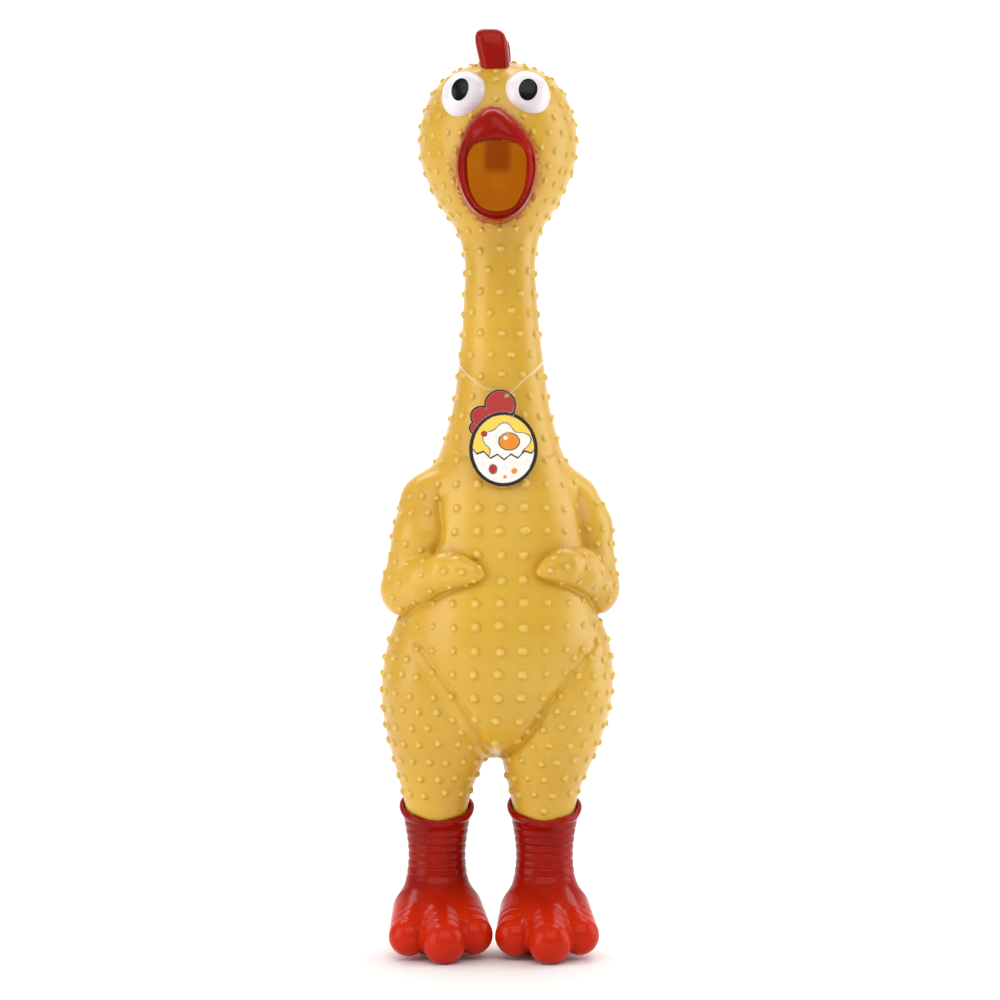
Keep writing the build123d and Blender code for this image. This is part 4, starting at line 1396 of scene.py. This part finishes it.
# The floor runs from in front of the camera to the backdrop's foot, and curves up into the backdrop.
FLOOR_HALF, FLOOR_FRONT, BACKDROP_FOOT, BACKDROP_BEND, BACKDROP_TOP = 8.0, -8.0, 1.2, 1.2, 4.0
FLOOR_PALE, FLOOR_SHADE = (0.90, 0.90, 0.90, 1), (0.88, 0.88, 0.885, 1)


def make_camera():
    data = bpy.data.cameras.new("camera")
    data.sensor_width, data.lens = CAMERA_SENSOR, CAMERA_LENS
    data.clip_start, data.clip_end = 0.05, 20
    camera = bpy.data.objects.new("camera", data)
    camera.location = CAMERA_PLACE
    camera.rotation_euler = (math.pi / 2, 0, 0)
    bpy.context.scene.collection.objects.link(camera)
    bpy.context.scene.camera = camera


def area_light(name, azimuth, elevation, distance, width, height, power, aim):
    """A softbox that faces the place it aims at."""
    data = bpy.data.lights.new(name, "AREA")
    data.shape = "RECTANGLE"
    data.size, data.size_y, data.energy = width, height, power
    light = bpy.data.objects.new(name, data)
    a, e = math.radians(azimuth), math.radians(elevation)
    away = np.array([math.sin(a) * math.cos(e), -math.cos(a) * math.cos(e), math.sin(e)])
    light.location = aim + away * distance
    light.rotation_euler = (math.pi / 2 - e, 0, a)
    bpy.context.scene.collection.objects.link(light)


def make_stage():
    """A pale floor that curves up into a backdrop, and the light."""
    s = Shader("pale_floor", {"Roughness": 0.85})
    s.set("Base Color", s.mix(s.noise(3.0), FLOOR_PALE, FLOOR_SHADE))
    rows = [(FLOOR_FRONT, 0.0), (BACKDROP_FOOT, 0.0)]
    for t in np.linspace(0.1, math.pi / 2, 15):
        rows.append((BACKDROP_FOOT + BACKDROP_BEND * math.sin(t), BACKDROP_BEND * (1 - math.cos(t))))
    rows.append((rows[-1][0], BACKDROP_TOP))
    points = [(x, y, z) for y, z in rows for x in (-FLOOR_HALF, FLOOR_HALF)]
    faces = [(2 * i, 2 * i + 1, 2 * i + 3, 2 * i + 2) for i in range(len(rows) - 1)]
    mesh = bpy.data.meshes.new("floor")
    mesh.from_pydata(points, [], faces)
    mesh.polygons.foreach_set("use_smooth", [True] * len(faces))
    mesh.materials.append(s.material)
    floor = bpy.data.objects.new("floor", mesh)
    bpy.context.scene.collection.objects.link(floor)
    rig.stage(floor)
    for name, settings in SOFTBOXES.items():
        area_light(name, *settings)
    world = bpy.data.worlds.new("studio")
    world.use_nodes = True
    sky = world.node_tree.nodes["Background"]
    sky.inputs["Color"].default_value, sky.inputs["Strength"].default_value = (1, 1, 1, 1), WORLD_STRENGTH
    bpy.context.scene.world = world
    bpy.context.scene.view_settings.view_transform = "Standard"


def paint(material, *nodes):
    """Give the material to CAD objects that are shown as they are."""
    for name in nodes:
        mesh = frame["nodes"][name].data
        mesh.materials.clear()
        mesh.materials.append(material)


# Where the skin bends, in metres: up to the first place it moves with one body, from the second with the other.
HEAD_BEND, NECK_BEND = ((0, 0, 0.298), (0, 0, 0.316)), ((0, 0, 0.264), (0, 0, 0.282))
ANKLE_BEND = ((0, 0, 0.084), (0, 0, 0.068))

make_camera()
clear = clear_plastic()
filament(clear)

yellow, inside, red = yellow_vinyl(), vinyl_inside(), red_vinyl()
skins = skin_pieces((yellow, inside))
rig.blend(skins["head_vinyl"], "neck", "head", start=HEAD_BEND[0], end=HEAD_BEND[1])
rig.blend(skins["neck_vinyl"], "torso", "neck", start=NECK_BEND[0], end=NECK_BEND[1])
start, end = ([v * MM for v in place] for place in (BELLY_IN, BELLY_OUT))
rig.blend(skins["torso_vinyl"], "torso", "belly", start=start, end=end)
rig.replaces(skins["head_vinyl"], "head_skin", "upper_neck_flex")
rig.replaces(skins["neck_vinyl"], "neck_sleeve", "lower_neck_flex")
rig.replaces(skins["torso_vinyl"], "torso_skin", "belly_patch")
boots = boot_pieces(red)
for name in boots:
    leg = skins[f"{name}_leg_vinyl"]
    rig.blend(leg, "torso", f"{name}_foot", start=ANKLE_BEND[0], end=ANKLE_BEND[1])
    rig.replaces(leg, f"{name}_ankle_skin")
    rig.ride(boots[name], f"{name}_foot")
    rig.replaces(boots[name], f"{name}_boot")

beak = beak_piece(red)
comb = comb_piece(red)
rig.replaces(beak, "beak")
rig.replaces(comb, "comb")
for piece in (beak, comb, *eye_pieces(eye_paint(), pupil_paint())):
    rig.ride(piece, "head")

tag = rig.slot(tag_form().piece("tag_print_card", printed_card()), "printed_card")
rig.replaces(tag, "tag_card")
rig.ride(tag, "tag")

paint(clear, "loop_lock")
paint(squeaker_plastic("squeaker_white", CASE, CASE_SHADE, 0.35), "squeaker_barrel", "squeaker_cap")
paint(squeaker_plastic("squeaker_core", CORE, CORE_SHADE, 0.4), "squeaker_reed_block", "squeaker_reed_wedge")
paint(squeaker_plastic("reed_strip", STRIP, STRIP_SHADE, 0.25), "squeaker_reed")

make_stage()

visual_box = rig.bounds()
with open("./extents.json", "w") as out:
    json.dump({"cad": [list(c) for c in cad_box], "visual": [list(c) for c in visual_box]}, out)
